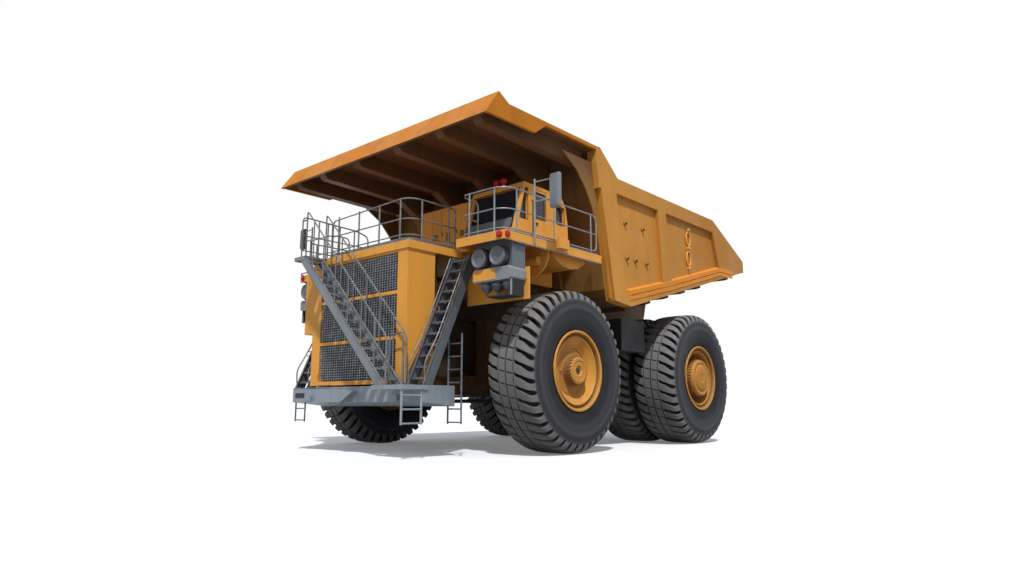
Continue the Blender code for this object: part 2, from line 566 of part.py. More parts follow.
# Engine: one plain block behind the radiator
engine = Shape()
engine.box((TOUCH_GAP - RAIL_X0, -2.2, 1.55), (RAIL_X0 - TOUCH_GAP, -1.6, 1.95))
engine.box((TOUCH_GAP - RAIL_X0, -2.28, 1.9), (RAIL_X0 - TOUCH_GAP, 0.9, 3.4))
engine.build("engine", dark)

# Radiator house: front frame around the grille, side panels and a hollow back
house = Shape()
house.box((-RADIATOR_HALF_W, RADIATOR_FRONT_Y, 1.66), (RADIATOR_HALF_W, RADIATOR_REAR_Y, CENTRE_FASCIA_Z - TOUCH_GAP))
house.box((-RADIATOR_HALF_W + 0.06, RADIATOR_FRONT_Y + 0.3, 1.72), (RADIATOR_HALF_W - 0.06, 0, 4.77), cut=True)
for z0, z1 in ((1.76, 2.69), (2.77, 3.77), (3.85, 4.77)):
    house.box((-GRILLE_HALF_W, RADIATOR_FRONT_Y - 0.1, z0), (GRILLE_HALF_W, RADIATOR_FRONT_Y + 0.4, z1), cut=True)
house.box((-2.42, -3.5, 3.05), (-RADIATOR_HALF_W + 0.02, -3.12, 4.78))
house.box((-1.62, RADIATOR_FRONT_Y - 0.05, 1.67), (-0.99, RADIATOR_FRONT_Y + 0.2, 1.98))
house.build("radiator_house", orange)
core = Shape()
core.box((-GRILLE_HALF_W - 0.25, RADIATOR_FRONT_Y + 0.3 + TOUCH_GAP, 1.72 + TOUCH_GAP), (GRILLE_HALF_W + 0.25, RADIATOR_FRONT_Y + 0.62, 4.7))
for z0, z1 in ((1.76, 2.69), (2.77, 3.77), (3.85, 4.69)):
    core.box((-GRILLE_HALF_W + TOUCH_GAP, RADIATOR_FRONT_Y + 0.12, z0 + TOUCH_GAP), (GRILLE_HALF_W - TOUCH_GAP, RADIATOR_FRONT_Y + 0.35, z1 - TOUCH_GAP))
for i in range(4):
    for z in (1.93 + 0.19 * i, 2.94 + 0.2 * i, 4.02 + 0.19 * i):
        core.box((-GRILLE_HALF_W + 0.002, RADIATOR_FRONT_Y + 0.04, z), (GRILLE_HALF_W - 0.002, RADIATOR_FRONT_Y + 0.14, z + 0.05))
core.build("grille", dark)

# Bumper: a deep box beam with end ladders, the step platform and its side ladder
bumper = Shape()
bumper.prism("x", -BUMPER_HALF_W, BUMPER_HALF_W, [(BUMPER_FRONT_Y, 1.24), (BUMPER_FRONT_Y, BUMPER_TOP_Z),
             (BUMPER_REAR_Y, BUMPER_TOP_Z), (BUMPER_REAR_Y, 1.14)])
bumper.box((1.61, PLATFORM_FRONT_Y, 1.51), (2.65, BUMPER_FRONT_Y + 0.1, BUMPER_TOP_Z - 0.001))


def ladder(shape, low_a, low_b, top, rungs):
    """Two stiles from low_a and low_b up to the height top, with rungs between."""
    for x, y, z in (low_a, low_b):
        shape.box((x - 0.03, y - 0.03, z), (x + 0.03, y + 0.03, top))
    for i in range(rungs):
        z = low_a[2] + 0.03 + i * 0.3
        shape.box(
            (min(low_a[0], low_b[0]) - 0.02, min(low_a[1], low_b[1]) - 0.02, z - 0.02),
            (max(low_a[0], low_b[0]) + 0.02, max(low_a[1], low_b[1]) + 0.02, z + 0.02),
        )


ladder(bumper, (2.6, -4.22, 0.75), (2.6, -3.66, 0.75), 1.56, 3)
ladder(bumper, (2.38, -2.65, 0.74), (2.82, -2.65, 0.74), 2.82, 7)
ladder(bumper, (-2.5, -3.6, 0.74), (-2.06, -3.6, 0.74), 1.3, 2)
bumper.prism("y", BUMPER_FRONT_Y - 0.14, BUMPER_FRONT_Y + 0.05, [(-0.36, 1.2), (-0.06, 1.2), (0.19, 1.5)])
bumper.box((-2.5, BUMPER_FRONT_Y - 0.1, 1.35), (-2.07, BUMPER_FRONT_Y + 0.06, 1.48), cut=True)
for x in (-1.84, 1.65):
    bumper.box((x - 0.12, BUMPER_FRONT_Y - 0.06, 1.27), (x + 0.12, BUMPER_FRONT_Y + 0.05, 1.4))
bumper.build("bumper", grey)

# Stairs: a diagonal flight across the grille and a steep flight up each side of the radiator house
FLIGHT_X0 = 1.69
FLIGHT_TOP_X = -1.67
LANDING_Z = 4.97
front_stair = Shape()
for y in (-4.25, -3.71):
    front_stair.prism("y", y, y + STAIR_PLATE, [(FLIGHT_X0, BUMPER_TOP_Z - 0.001 + TOUCH_GAP), (2.01, BUMPER_TOP_Z - 0.001 + TOUCH_GAP), (-1.35, LANDING_Z),
                      (FLIGHT_TOP_X, LANDING_Z)])
for i in range(13):
    x = 1.72 - i * 0.245
    z = 1.86 + i * 0.2445
    front_stair.box((x - 0.13, -4.23, z - 0.015), (x + 0.13, -3.7, z + 0.015))
front_stair.box((-1.7, -4.25, 4.93), (-1.36, -3.6 - TOUCH_GAP, 4.99))
for y, foot_x, end_x, low_z in ((-4.235, 2.0, -1.36, 2.67), (-3.695, 2.02, -1.3, 2.72)):
    slope = (6.05 - low_z) / (foot_x - end_x - 0.12)
    front_stair.pipe([(foot_x, y, 1.62), (foot_x, y, low_z), (end_x + 0.12, y, 6.05), (end_x + 0.03, y, 6.1),
                      (end_x, y, 6.03), (end_x, y, 4.98)], RAIL_R)
    for x in (1.6, 0.5, -0.6):
        front_stair.pipe([(x, y, 3.46 - x), (x, y, low_z + 0.01 + (foot_x - x) * slope)], RAIL_R + 0.001)
SIDE_RAIL_X = -1.65
front_stair.pipe([(SIDE_RAIL_X, -4.235, 4.98), (SIDE_RAIL_X, -4.235, 5.98), (SIDE_RAIL_X, -4.14, 6.08),
                  (SIDE_RAIL_X, -2.5, 6.08), (SIDE_RAIL_X, -2.22, 5.94), (SIDE_RAIL_X, -2.12, 5.68),
                  (SIDE_RAIL_X, -2.12, 5.02 + TOUCH_GAP)], RAIL_R)
front_stair.pipe([(SIDE_RAIL_X, -4.25, 5.56), (SIDE_RAIL_X, -2.11, 5.56)], RAIL_R - 0.001)
for y in (-3.45, -2.8):
    front_stair.pipe([(SIDE_RAIL_X, y, 5.02 + TOUCH_GAP), (SIDE_RAIL_X, y, 6.09)], RAIL_R + 0.001)
front_stair.pipe([(SIDE_RAIL_X, -4.235, 5.94), (-1.36, -4.235, 5.94)], RAIL_R + 0.002)
GUARD_BEND = arc((1.5, -3.15), 0.35, -90, 0, 4)[1:]
for z in (5.6,):
    front_stair.pipe([(x, y, z) for x, y in [(-1.28, -3.5), (1.5, -3.5)] + GUARD_BEND + [(1.85, -2.0)]], RAIL_R)
front_stair.pipe([(-1.27, -3.5, 5.02 + TOUCH_GAP), (-1.27, -3.5, 5.92), (-1.1, -3.5, 6.1), (1.5, -3.5, 6.1)]
                 + [(x, y, 6.1) for x, y in GUARD_BEND] + [(1.85, -2.2, 6.1), (1.85, -2.02, 5.98),
                 (1.85, -1.99, 5.8), (1.85, -1.99, 5.02 + TOUCH_GAP)], RAIL_R)
for x, y in ((-1.01, -3.5), (-0.13, -3.5), (0.71, -3.5), (1.5, -3.5), (1.85, -3.1), (1.85, -2.21)):
    front_stair.pipe([(x, y, 5.02 + TOUCH_GAP), (x, y, 6.11)], POST_R)
front_stair.pipe([(-1.3, -3.695, 5.92), (-1.27, -3.5, 5.92)], RAIL_R - 0.001)
front_stair.build("front_stair", grey)


def side_stair():
    flight = Shape()
    for x in (2.0, 2.58):
        flight.prism("x", x, x + STAIR_PLATE, [(-3.6, 1.61 + TOUCH_GAP), (-3.32, 1.61 + TOUCH_GAP), (-1.95, 4.78), (-2.2, 4.78)])
    for i in range(11):
        z = 1.9 + i * 0.262
        y = -3.47 + i * 0.114
        flight.box((2.01, y - 0.1, z - 0.015), (2.6, y + 0.13, z + 0.015))
    return flight


cab_stair = side_stair()
cab_stair.mirrored().build("right_stair", grey)
cab_stair.build("cab_stair", grey)

# Decks: thin plates with deep edges
centre_deck = Shape()
centre_deck.box((-1.96, -3.6, CENTRE_FASCIA_Z), (1.96, 0.3, 5.02))
centre_deck.box((-1.9, -3.54, 4.7), (1.9, 0.24, 4.98), cut=True)
centre_deck.build("centre_deck", orange)


PLATE_T = 0.05


def side_deck(front_y):
    """A deck plate with its edges turned down, the bracket plate below it and the two tanks it carries."""
    low = DECK_TOP_Z - FASCIA_DEPTH
    under = DECK_TOP_Z - PLATE_T
    deck = Shape()
    deck.box((CAB_DECK_X0, front_y, under), (BODY_HALF_W, DECK_REAR_Y, DECK_TOP_Z))
    deck.box((1.96 + TOUCH_GAP, -1.9, under), (CAB_DECK_X0 + 0.1, DECK_REAR_Y - 0.001, DECK_TOP_Z - 0.001))
    deck.box((CAB_DECK_X0 + 0.001, front_y + 0.001, low), (BODY_HALF_W - 0.001, front_y + PLATE_T, under + 0.02))
    deck.box((BODY_HALF_W - PLATE_T, front_y + 0.002, low + 0.001), (BODY_HALF_W - 0.002, DECK_REAR_Y - 0.01, under + 0.01))
    deck.box((CAB_DECK_X0 + 0.002, front_y + 0.002, low + 0.002), (CAB_DECK_X0 + PLATE_T, -1.9, under + 0.01))
    deck.box((2.32, -1.98, 3.56), (4.28, -1.93, 4.3))
    deck.box((2.74, -1.979, 3.8), (2.86, -1.5, 4.99))
    deck.box((2.741, -1.55, 4.3), (2.859, 0.7, 4.991))
    deck.prism("y", -1.14, -1.1, [(2.8, 4.985), (2.8, 4.21), (3.62, 4.21)] + arc((3.62, 4.78), 0.57, -90, 0, 5)[1:]
               + [(4.19, 4.985)])
    deck.rod((3.2, -1.2, 4.6), (3.95, -1.2, 4.6), 0.11, 10)
    deck.prism("x", 2.6, 4.05, [(-0.82, 4.986), (-0.8, 4.82), (-0.62, 4.68), (-0.36, 4.57), (-0.05, 4.54), (0.26, 4.6),
               (0.5, 4.74), (0.58, 4.84), (0.6, 4.986)])
    deck.box((BODY_HALF_W - 0.01, -0.94, 4.9), (BODY_HALF_W + 0.15, -0.57, 5.14))
    lamp = Vector((BODY_HALF_W - 0.14, front_y, 4.94))
    deck.rod(lamp - Vector((0, 0.045, 0)), lamp + Vector((0, 0.01, 0)), 0.05, 10, end_radius=0.065)
    lamp = Vector((BODY_HALF_W, front_y + 0.1, 4.94))
    deck.rod(lamp + Vector((0.045, 0, 0)), lamp - Vector((0.01, 0, 0)), 0.05, 10, end_radius=0.065)
    return deck


side_deck(CAB_DECK_Y0).build("cab_deck", orange)
side_deck(RIGHT_DECK_Y0).mirrored().build("right_deck", orange)

# Electrical cabinets behind the centre deck
cabinets = Shape()
cabinets.box((-0.75, -0.8, 5.02 + TOUCH_GAP), (CAB_X0 - 0.06, 0.25, 6.7))
cabinets.build("cabinets", orange)


# Cab: a hollow shell with cut windows, its door on the outer side, glass behind the openings and simple fittings
def cab_front(z):
    """Y of the raked front at a height."""
    return CAB_FRONT_Y - (CAB_ROOF_Z - z) * CAB_RAKE


def cab_roof(y):
    """Height of the roof, which falls slightly to the rear."""
    rear_y, rear_z = CAB_REAR[0]
    return CAB_ROOF_Z - (y - CAB_FRONT_Y) / (rear_y - CAB_FRONT_Y) * (CAB_ROOF_Z - rear_z)


def window(y0, y1, z0, z1, low_y0=None):
    """Outline of a side window; low_y0 is where its front edge meets the sill when it is raked."""
    return [(y0 if low_y0 is None else low_y0, z0), (y0, z1), (y1, z1), (y1, z0)]


cab = Shape()
cab.prism("x", CAB_X0, CAB_X1, [(cab_front(CAB_BASE_Z), CAB_BASE_Z), (CAB_FRONT_Y, CAB_ROOF_Z)] + CAB_REAR)
cab_inner = [(cab_front(5.1) + 0.08, 5.1), (cab_front(6.57) + 0.08, 6.57), (0.11, 6.53), (0.285, 6.27), (0.37, 5.87), (0.39, 5.1)]
cab.prism("x", CAB_X0 + CAB_WALL, CAB_X1 - CAB_WALL, cab_inner, cut=True)
cab.box((CAB_X0 + 0.1, cab_front(CAB_BASE_Z) - 0.1, 5.42), (CAB_X1 - 0.1, CAB_FRONT_Y + 0.2, 6.5), cut=True)
side_cut = (CAB_X1 - 0.2, CAB_X1 + 0.1)
cab.prism("x", *side_cut, window(DOOR_Y0, DOOR_Y1, DOOR_Z0, DOOR_Z1), cut=True)
cab.prism("x", *side_cut, window(-1.28, -1.19, 5.69, 6.5, -1.51), cut=True)
cab.prism("x", *side_cut, window(-0.05, 0.3, 5.8, 6.29), cut=True)
cab.prism("x", CAB_X0 - 0.1, CAB_X0 + 0.2, window(-1.25, 0.1, 5.7, 6.4, -1.45), cut=True)
cab.box((CAB_X0 + 0.3, 0.2, 5.75), (CAB_X1 - 0.3, 0.6, 6.15), cut=True)
cab.build("cab_shell", orange)

door_hinge = empty("door_hinge", (HINGE_X, HINGE_Y, 5.8), truck)
door = Shape()
door.prism("x", CAB_X1 - 0.06, CAB_X1 - 0.01, window(DOOR_Y0 + DOOR_GAP, DOOR_Y1 - 0.012, DOOR_Z0 + DOOR_GAP, DOOR_Z1 - DOOR_GAP))
door.prism("x", *side_cut, window(-0.93, -0.48, 5.8, 6.46), cut=True)
door.rod((HINGE_X, HINGE_Y, DOOR_Z0 + PIN_GAP), (HINGE_X, HINGE_Y, DOOR_Z1 - PIN_GAP), 0.0075, 8)
door.build("cab_door", orange, door_hinge)
pane = Shape()
pane.prism("x", CAB_X1 - 0.045, CAB_X1 - 0.03, window(-0.93 + TOUCH_GAP, -0.48 - TOUCH_GAP, 5.8 + TOUCH_GAP, 6.46 - TOUCH_GAP))
pane.build("door_glass", glass, door_hinge)

cab_glass = Shape()
glass_out = [(cab_front(5.38) + 0.081, 5.38), (cab_front(6.54) + 0.081, 6.54), (0.06, 6.52), (0.26, 6.25), (0.36, 5.87),
             (0.37, 5.38)]
glass_in = [(cab_front(5.36) + 0.096, 5.36), (cab_front(6.56) + 0.096, 6.56), (0.045, 6.54), (0.245, 6.25), (0.345, 5.87),
            (0.355, 5.36)]
glass_x0 = CAB_X0 + CAB_WALL + TOUCH_GAP
glass_x1 = CAB_X1 - CAB_WALL - TOUCH_GAP
cab_glass.prism("x", glass_x0, glass_x1, glass_out)
cab_glass.prism("x", glass_x0 + 0.015, glass_x1 - 0.015, glass_in, cut=True)
cab_glass.box((glass_x1 - 0.1, DOOR_Y0 - 0.04, 5.3), (glass_x1 + 0.1, DOOR_Y1 + 0.04, 6.6), cut=True)
cab_glass.build("cab_glass", glass)

fittings = Shape()
fittings.box((1.95, -1.5, 5.1 + TOUCH_GAP), (3.5, 0.3, 5.16))
fittings.box((2.42, -0.75, 5.15), (2.97, -0.25, 5.55))
fittings.box((2.42, -0.32, 5.45), (2.97, -0.2, 6.1))
fittings.box((1.98, -1.48, 5.15), (3.45, -1.2, 5.6))
fittings.rod((2.7, -1.3, 5.5), (2.7, -1.12, 5.76), 0.035, 10)
fittings.rod((2.7, -1.14, 5.73), (2.7, -1.11, 5.77), 0.19, 14)
fittings.build("cab_fittings", dark)

# Air cleaners under the decks, with round front caps, a lower tray and dust bowls


def air_cleaner():
    unit = Shape()
    unit.box((3.04, -2.45, 4.1), (4.18, -1.99, 4.98 - TOUCH_GAP))
    unit.box((3.0, -2.56, 3.86), (4.22, -1.99, 4.14))
    for x in (3.31, 3.88):
        unit.rod((x, -2.62, 4.51), (x, -2.4, 4.51), 0.25, 14)
        unit.rod((x, -2.68, 4.51), (x, -2.6, 4.51), 0.2, 14, end_radius=0.23)
    for x in (3.3, 3.62, 3.94):
        unit.rod((x, -2.28, 3.88), (x, -2.28, 3.75), 0.15, 10)
        unit.rod((x, -2.28, 3.76), (x, -2.28, 3.54), 0.12, 10, end_radius=0.03)
    return unit


cleaner = air_cleaner()
cleaner.mirrored().build("air_cleaner_right", grey)
cleaner.build("air_cleaner_left", grey)

# Tanks hung between the axles
fuel = Shape()
fuel.box((1.62, 2.85, 2.7), (3.65, 4.1, 3.6))
fuel.box((RAIL_X1 + TOUCH_GAP, 2.78, 2.14), (1.9, 2.92, 2.28))
fuel.box((1.68, 2.779, 2.139), (1.88, 3.1, 2.8))
fuel.mirrored().build("hydraulic_tank", dark)
fuel.build("fuel_tank", dark)

# Handrails and mirrors
def deck_rail(front_y, mirror_y, mirror_low, mirror_high):
    """Rails round a side deck with a hoop at the rear end, and a mirror on a post outside the deck's edge."""
    unit = Shape()
    outer_x = BODY_HALF_W - 0.05
    inner_x = 2.78
    line_y = front_y + 0.06
    bend = arc((outer_x - 0.4, line_y + 0.4), 0.4, -90, 0, 4)[1:]
    line = [(inner_x, line_y + 0.17), (inner_x + 0.17, line_y), (outer_x - 0.4, line_y)] + bend
    foot = DECK_TOP_Z + TOUCH_GAP
    unit.pipe([(inner_x, line_y + 0.61, foot), (inner_x, line_y + 0.61, 5.86), (inner_x, line_y + 0.45, 6.08)]
              + [(x, y, 6.08) for x, y in line] + [(outer_x, 0.62, 6.08), (outer_x, 0.8, 6.0), (outer_x, 0.88, 5.84),
              (outer_x, 0.88, 5.34), (outer_x, 0.8, 5.18), (outer_x, 0.62, 5.12), (outer_x, line_y + 0.4, 5.12)], RAIL_R)
    unit.pipe([(x, y, 5.58) for x, y in [(inner_x, line_y + 0.62)] + line + [(outer_x, 0.89)]], RAIL_R - 0.001)
    for x, y in ((3.09, line_y), (outer_x - 0.4, line_y), (outer_x, line_y + 0.42), (outer_x, -0.91), (outer_x, 0.64)):
        unit.pipe([(x, y, foot), (x, y, 6.09)], POST_R)
    post_x = BODY_HALF_W + TOUCH_GAP + POST_R
    unit.pipe([(post_x, mirror_y, 4.87), (post_x, mirror_y, mirror_high - 0.06)], POST_R)
    for z in (5.58, 6.08):
        unit.box((outer_x - 0.01, mirror_y - 0.012, z - 0.012), (post_x + 0.01, mirror_y + 0.012, z + 0.012))
    for z in (mirror_low + 0.22, mirror_high - 0.12):
        unit.pipe([(post_x - 0.01, mirror_y, z), (4.76, mirror_y + 0.05, z)], RAIL_R)
    unit.box((4.66, mirror_y + 0.01, mirror_low), (5.0, mirror_y + 0.13, mirror_high))
    return unit


deck_rail(CAB_DECK_Y0, -1.75, 5.66, 6.48).build("cab_rail", grey)
deck_rail(RIGHT_DECK_Y0, -2.06, 6.05, 6.65).mirrored().build("right_rail", grey)

# Two red beacons on a bar above the centre deck beside the cab roof
beacons = Shape()
beacons.prism("x", 2.5, 2.88, [(-1.25, cab_roof(-1.25) + TOUCH_GAP), (-1.15, cab_roof(-1.15) + TOUCH_GAP), (-1.15, CAB_ROOF_Z + 0.04),
              (-1.25, CAB_ROOF_Z + 0.04)])
for x in (2.58, 2.8):
    beacons.rod((x, -1.2, CAB_ROOF_Z + 0.02), (x, -1.2, 6.76), 0.035, 8)
    beacons.rod((x, -1.2, 6.75), (x, -1.2, 6.83), 0.07, 10, end_radius=0.1)
    beacons.rod((x, -1.2, 6.83), (x, -1.2, 6.92), 0.1, 10, end_radius=0.05)
beacons.build("beacons", red)
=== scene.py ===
"""Mining dump truck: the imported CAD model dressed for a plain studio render.

Metres, +Z up, the truck faces -Y and its left (cab) side is +X. Lengths along Y are counted from the front axle.
"""
import json
from math import cos, pi, radians, sin

import bpy
import numpy as np
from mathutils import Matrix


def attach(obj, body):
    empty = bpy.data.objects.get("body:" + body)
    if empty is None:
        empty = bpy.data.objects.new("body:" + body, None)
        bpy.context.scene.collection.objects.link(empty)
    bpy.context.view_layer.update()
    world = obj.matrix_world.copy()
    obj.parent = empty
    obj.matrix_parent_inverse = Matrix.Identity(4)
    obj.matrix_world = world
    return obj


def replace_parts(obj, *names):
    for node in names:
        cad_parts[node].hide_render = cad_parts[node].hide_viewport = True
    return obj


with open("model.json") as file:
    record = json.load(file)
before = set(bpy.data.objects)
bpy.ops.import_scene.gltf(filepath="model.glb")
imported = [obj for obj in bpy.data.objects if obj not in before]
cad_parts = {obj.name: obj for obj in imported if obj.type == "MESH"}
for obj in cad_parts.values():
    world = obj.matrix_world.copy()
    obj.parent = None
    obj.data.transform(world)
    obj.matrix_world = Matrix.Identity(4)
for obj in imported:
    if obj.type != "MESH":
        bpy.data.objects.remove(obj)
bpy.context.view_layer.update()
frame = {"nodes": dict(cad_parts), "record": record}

# Camera, pale floor and soft light
# The view is the photograph's: low, ahead of the truck and on its left, looking slightly up. A sun from the
# left, ahead and above gives the ground shadow, and an even sky fills the shaded sides.
scene = bpy.context.scene
scene.view_settings.view_transform = "Standard"
camera = bpy.data.objects.new("camera", bpy.data.cameras.new("camera"))
scene.collection.objects.link(camera)
camera.location = (14.283, -16.888, 1.185)
camera.rotation_euler = (radians(99.5165), 0.0, radians(41.337))
camera.data.lens = 24.41
camera.data.sensor_width = 36.0
camera.data.clip_end = 500.0
scene.camera = camera

SUN_STRENGTH = 3.2
SKY_STRENGTH = 0.46
SKY_COLOUR = (0.93, 0.96, 1.0, 1.0)
WHITE = (1.0, 1.0, 1.0, 1.0)
sun = bpy.data.objects.new("sun", bpy.data.lights.new("sun", "SUN"))
scene.collection.objects.link(sun)
sun.data.energy = SUN_STRENGTH
sun.data.angle = radians(3.0)
sun.data.color = (1.0, 0.97, 0.92)
sun.rotation_euler = (radians(35.3), 0.0, radians(45.0))


def feed(tree, node, inputs):
    """Each named or numbered socket gets its value, or a link where the value is another node's output."""
    for socket, value in inputs.items():
        if isinstance(value, bpy.types.NodeSocket):
            tree.links.new(value, node.inputs[socket])
        else:
            node.inputs[socket].default_value = value


def add_node(tree, kind, inputs=None, **settings):
    """A shader node beside the ones before it, with its plain settings and what feeds its sockets."""
    node = tree.nodes.new("ShaderNode" + kind)
    node.location = (200 * len(tree.nodes), 0)
    for key, value in settings.items():
        setattr(node, key, value)
    feed(tree, node, inputs or {})
    return node


def seen_directly(tree):
    """1 on rays that show the background: straight from the camera, mirrored or through glass."""
    path = add_node(tree, "LightPath").outputs
    either = add_node(tree, "Math", {0: path["Is Camera Ray"], 1: path["Is Glossy Ray"]}, operation="MAXIMUM")
    return add_node(tree, "Math", {0: either.outputs[0], 1: path["Is Transmission Ray"]},
                    operation="MAXIMUM").outputs[0]


world = bpy.data.worlds.new("studio_sky")
world.use_nodes = True
scene.world = world
sky = world.node_tree
blue = sky.nodes["Background"]
feed(sky, blue, {"Color": SKY_COLOUR, "Strength": SKY_STRENGTH})
white = add_node(sky, "Background", {"Color": WHITE})
choose = add_node(sky, "MixShader", {0: seen_directly(sky), 1: blue.outputs[0], 2: white.outputs[0]})
feed(sky, sky.nodes["World Output"], {0: choose.outputs[0]})

# The floor is darker where it only throws light back at the truck, and its shadows are lifted where it is seen
FLOOR_HALF = 150.0
FLOOR_BOUNCE = (0.28, 0.28, 0.28, 1.0)
FLOOR_SEEN = (0.75, 0.79, 0.85, 1.0)
SHADOW_LIFT = 0.16
floor_mesh = bpy.data.meshes.new("studio_floor")
floor_mesh.from_pydata([(x * FLOOR_HALF, y * FLOOR_HALF, 0) for x, y in ((-1, -1), (1, -1), (1, 1), (-1, 1))],
                       [], [(0, 1, 2, 3)])
studio_floor = bpy.data.objects.new("studio_floor", floor_mesh)
scene.collection.objects.link(studio_floor)
floor_paint = bpy.data.materials.new("studio_floor")
floor_paint.use_nodes = True
tree = floor_paint.node_tree
tree.nodes.remove(tree.nodes["Principled BSDF"])
direct = seen_directly(tree)
tint = add_node(tree, "Mix", {"Factor": direct, "A": FLOOR_BOUNCE, "B": FLOOR_SEEN}, data_type="RGBA")
matt = add_node(tree, "BsdfDiffuse", {"Color": tint.outputs["Result"]})
lift = add_node(tree, "Math", {0: direct, 1: SHADOW_LIFT}, operation="MULTIPLY")
glow = add_node(tree, "Emission", {"Color": WHITE, "Strength": lift.outputs[0]})
both = add_node(tree, "AddShader", {0: matt.outputs[0], 1: glow.outputs[0]})
feed(tree, tree.nodes["Material Output"], {"Surface": both.outputs[0]})
floor_mesh.materials.append(floor_paint)


# Painted steel of the body, cab, decks and radiator house
# Fabricated plate in orange machine paint, sun-faded in patches, streaked by rain, dusty on top and rubbed
# to a paler metal along its corners. The body's underside is the same paint, painted dark brown as painted shade.
def weathering_group():
    """Masks that wear reads from, all in the piece's own metres.

    Edge: how far the rounded corner's direction leaves the face's. Blotch: broad cloudy noise. Streak: noise
    drawn out nine times along Z. Dust: how far the face looks up, broken by noise. Grain: fine noise.
    Low, Aft and Under: how near the ground, how far back and how far below the canopy a place lies.
    """
    group = bpy.data.node_groups.new("weathering", "ShaderNodeTree")
    wide = group.interface.new_socket("Edge Width", in_out="INPUT", socket_type="NodeSocketFloat")
    wide.default_value = 0.02
    for name in ("Edge", "Blotch", "Streak", "Dust", "Grain", "Low", "Aft", "Under"):
        group.interface.new_socket(name, in_out="OUTPUT", socket_type="NodeSocketFloat")
    inlet = group.nodes.new("NodeGroupInput")
    where = add_node(group, "TexCoord").outputs

    def noise(scale, detail, stretch=(1.0, 1.0, 1.0)):
        """Cloudy noise on the piece's own metres, each axis multiplied by stretch first."""
        source = where["Object"]
        if stretch != (1.0, 1.0, 1.0):
            source = add_node(group, "Mapping", {"Vector": source, "Scale": stretch}).outputs[0]
        return add_node(group, "TexNoise", {"Vector": source, "Scale": scale, "Detail": detail,
                                            "Roughness": 0.62}).outputs["Fac"]

    def spread(source, low, high):
        """0 at low, 1 at high, smooth between."""
        return add_node(group, "MapRange", {"Value": source, "From Min": low, "From Max": high},
                        interpolation_type="SMOOTHSTEP").outputs[0]

    def times(a, b):
        """The product of two masks."""
        return add_node(group, "Math", {0: a, 1: b}, operation="MULTIPLY").outputs[0]

    rounded = add_node(group, "Bevel", {"Radius": inlet.outputs["Edge Width"]}, samples=4)
    face = add_node(group, "NewGeometry")
    agree = add_node(group, "VectorMath", {0: rounded.outputs[0], 1: face.outputs["Normal"]},
                     operation="DOT_PRODUCT")
    up = add_node(group, "SeparateXYZ", {0: where["Normal"]}).outputs["Z"]
    place = add_node(group, "SeparateXYZ", {0: where["Object"]}).outputs
    feed(group, group.nodes.new("NodeGroupOutput"), {
        "Edge": times(spread(agree.outputs["Value"], 0.995, 0.93), spread(noise(9.0, 6.0), 0.42, 0.66)),
        "Blotch": spread(noise(0.55, 5.0), 0.3, 0.7),
        "Streak": spread(noise(1.0, 2.0, (3.0, 3.0, 0.35)), 0.42, 0.85),
        "Dust": times(spread(up, 0.15, 0.95), spread(noise(2.4, 6.0), 0.25, 0.8)),
        "Grain": noise(45.0, 4.0),
        "Low": spread(place["Z"], 3.4, 0.4),
        "Aft": spread(place["Y"], -2.0, 5.5),
        "Under": spread(place["Z"], 7.7, 6.7)})
    return group


weathering = weathering_group()
DUST = (0.43, 0.36, 0.27)
finishes = {}


def mixed(tree, factor, below, above, strength):
    """Colour below turned into the colour above by factor times strength."""
    scaled = add_node(tree, "Math", {0: factor, 1: strength}, operation="MULTIPLY", use_clamp=True)
    below, above = ((*shade, 1.0) if isinstance(shade, tuple) else shade for shade in (below, above))
    return add_node(tree, "Mix", {"Factor": scaled.outputs[0], "A": below, "B": above},
                    data_type="RGBA").outputs["Result"]


def marked_places(tree, below, attribute, shade, strength):
    """Colour below turned into a mark's shade where the mesh's attribute says so."""
    spot = add_node(tree, "Attribute", attribute_name=attribute)
    return mixed(tree, spot.outputs["Fac"], below, shade, strength)


def outer_faces(tree):
    """1 where the canopy shows its orange, not painted shade: its side edges and whatever looks up, soft-edged."""
    where = add_node(tree, "TexCoord").outputs
    across = add_node(tree, "SeparateXYZ", {0: where["Object"]}).outputs["X"]
    width = add_node(tree, "Math", {0: across}, operation="ABSOLUTE").outputs[0]
    up = add_node(tree, "SeparateXYZ", {0: where["Normal"]}).outputs["Z"]
    side = add_node(tree, "MapRange", {"Value": width, "From Min": 4.15, "From Max": 4.17})
    top = add_node(tree, "MapRange", {"Value": up, "From Min": 0.25, "From Max": 0.4})
    return add_node(tree, "Math", {0: side.outputs[0], 1: top.outputs[0]}, operation="MAXIMUM").outputs[0]


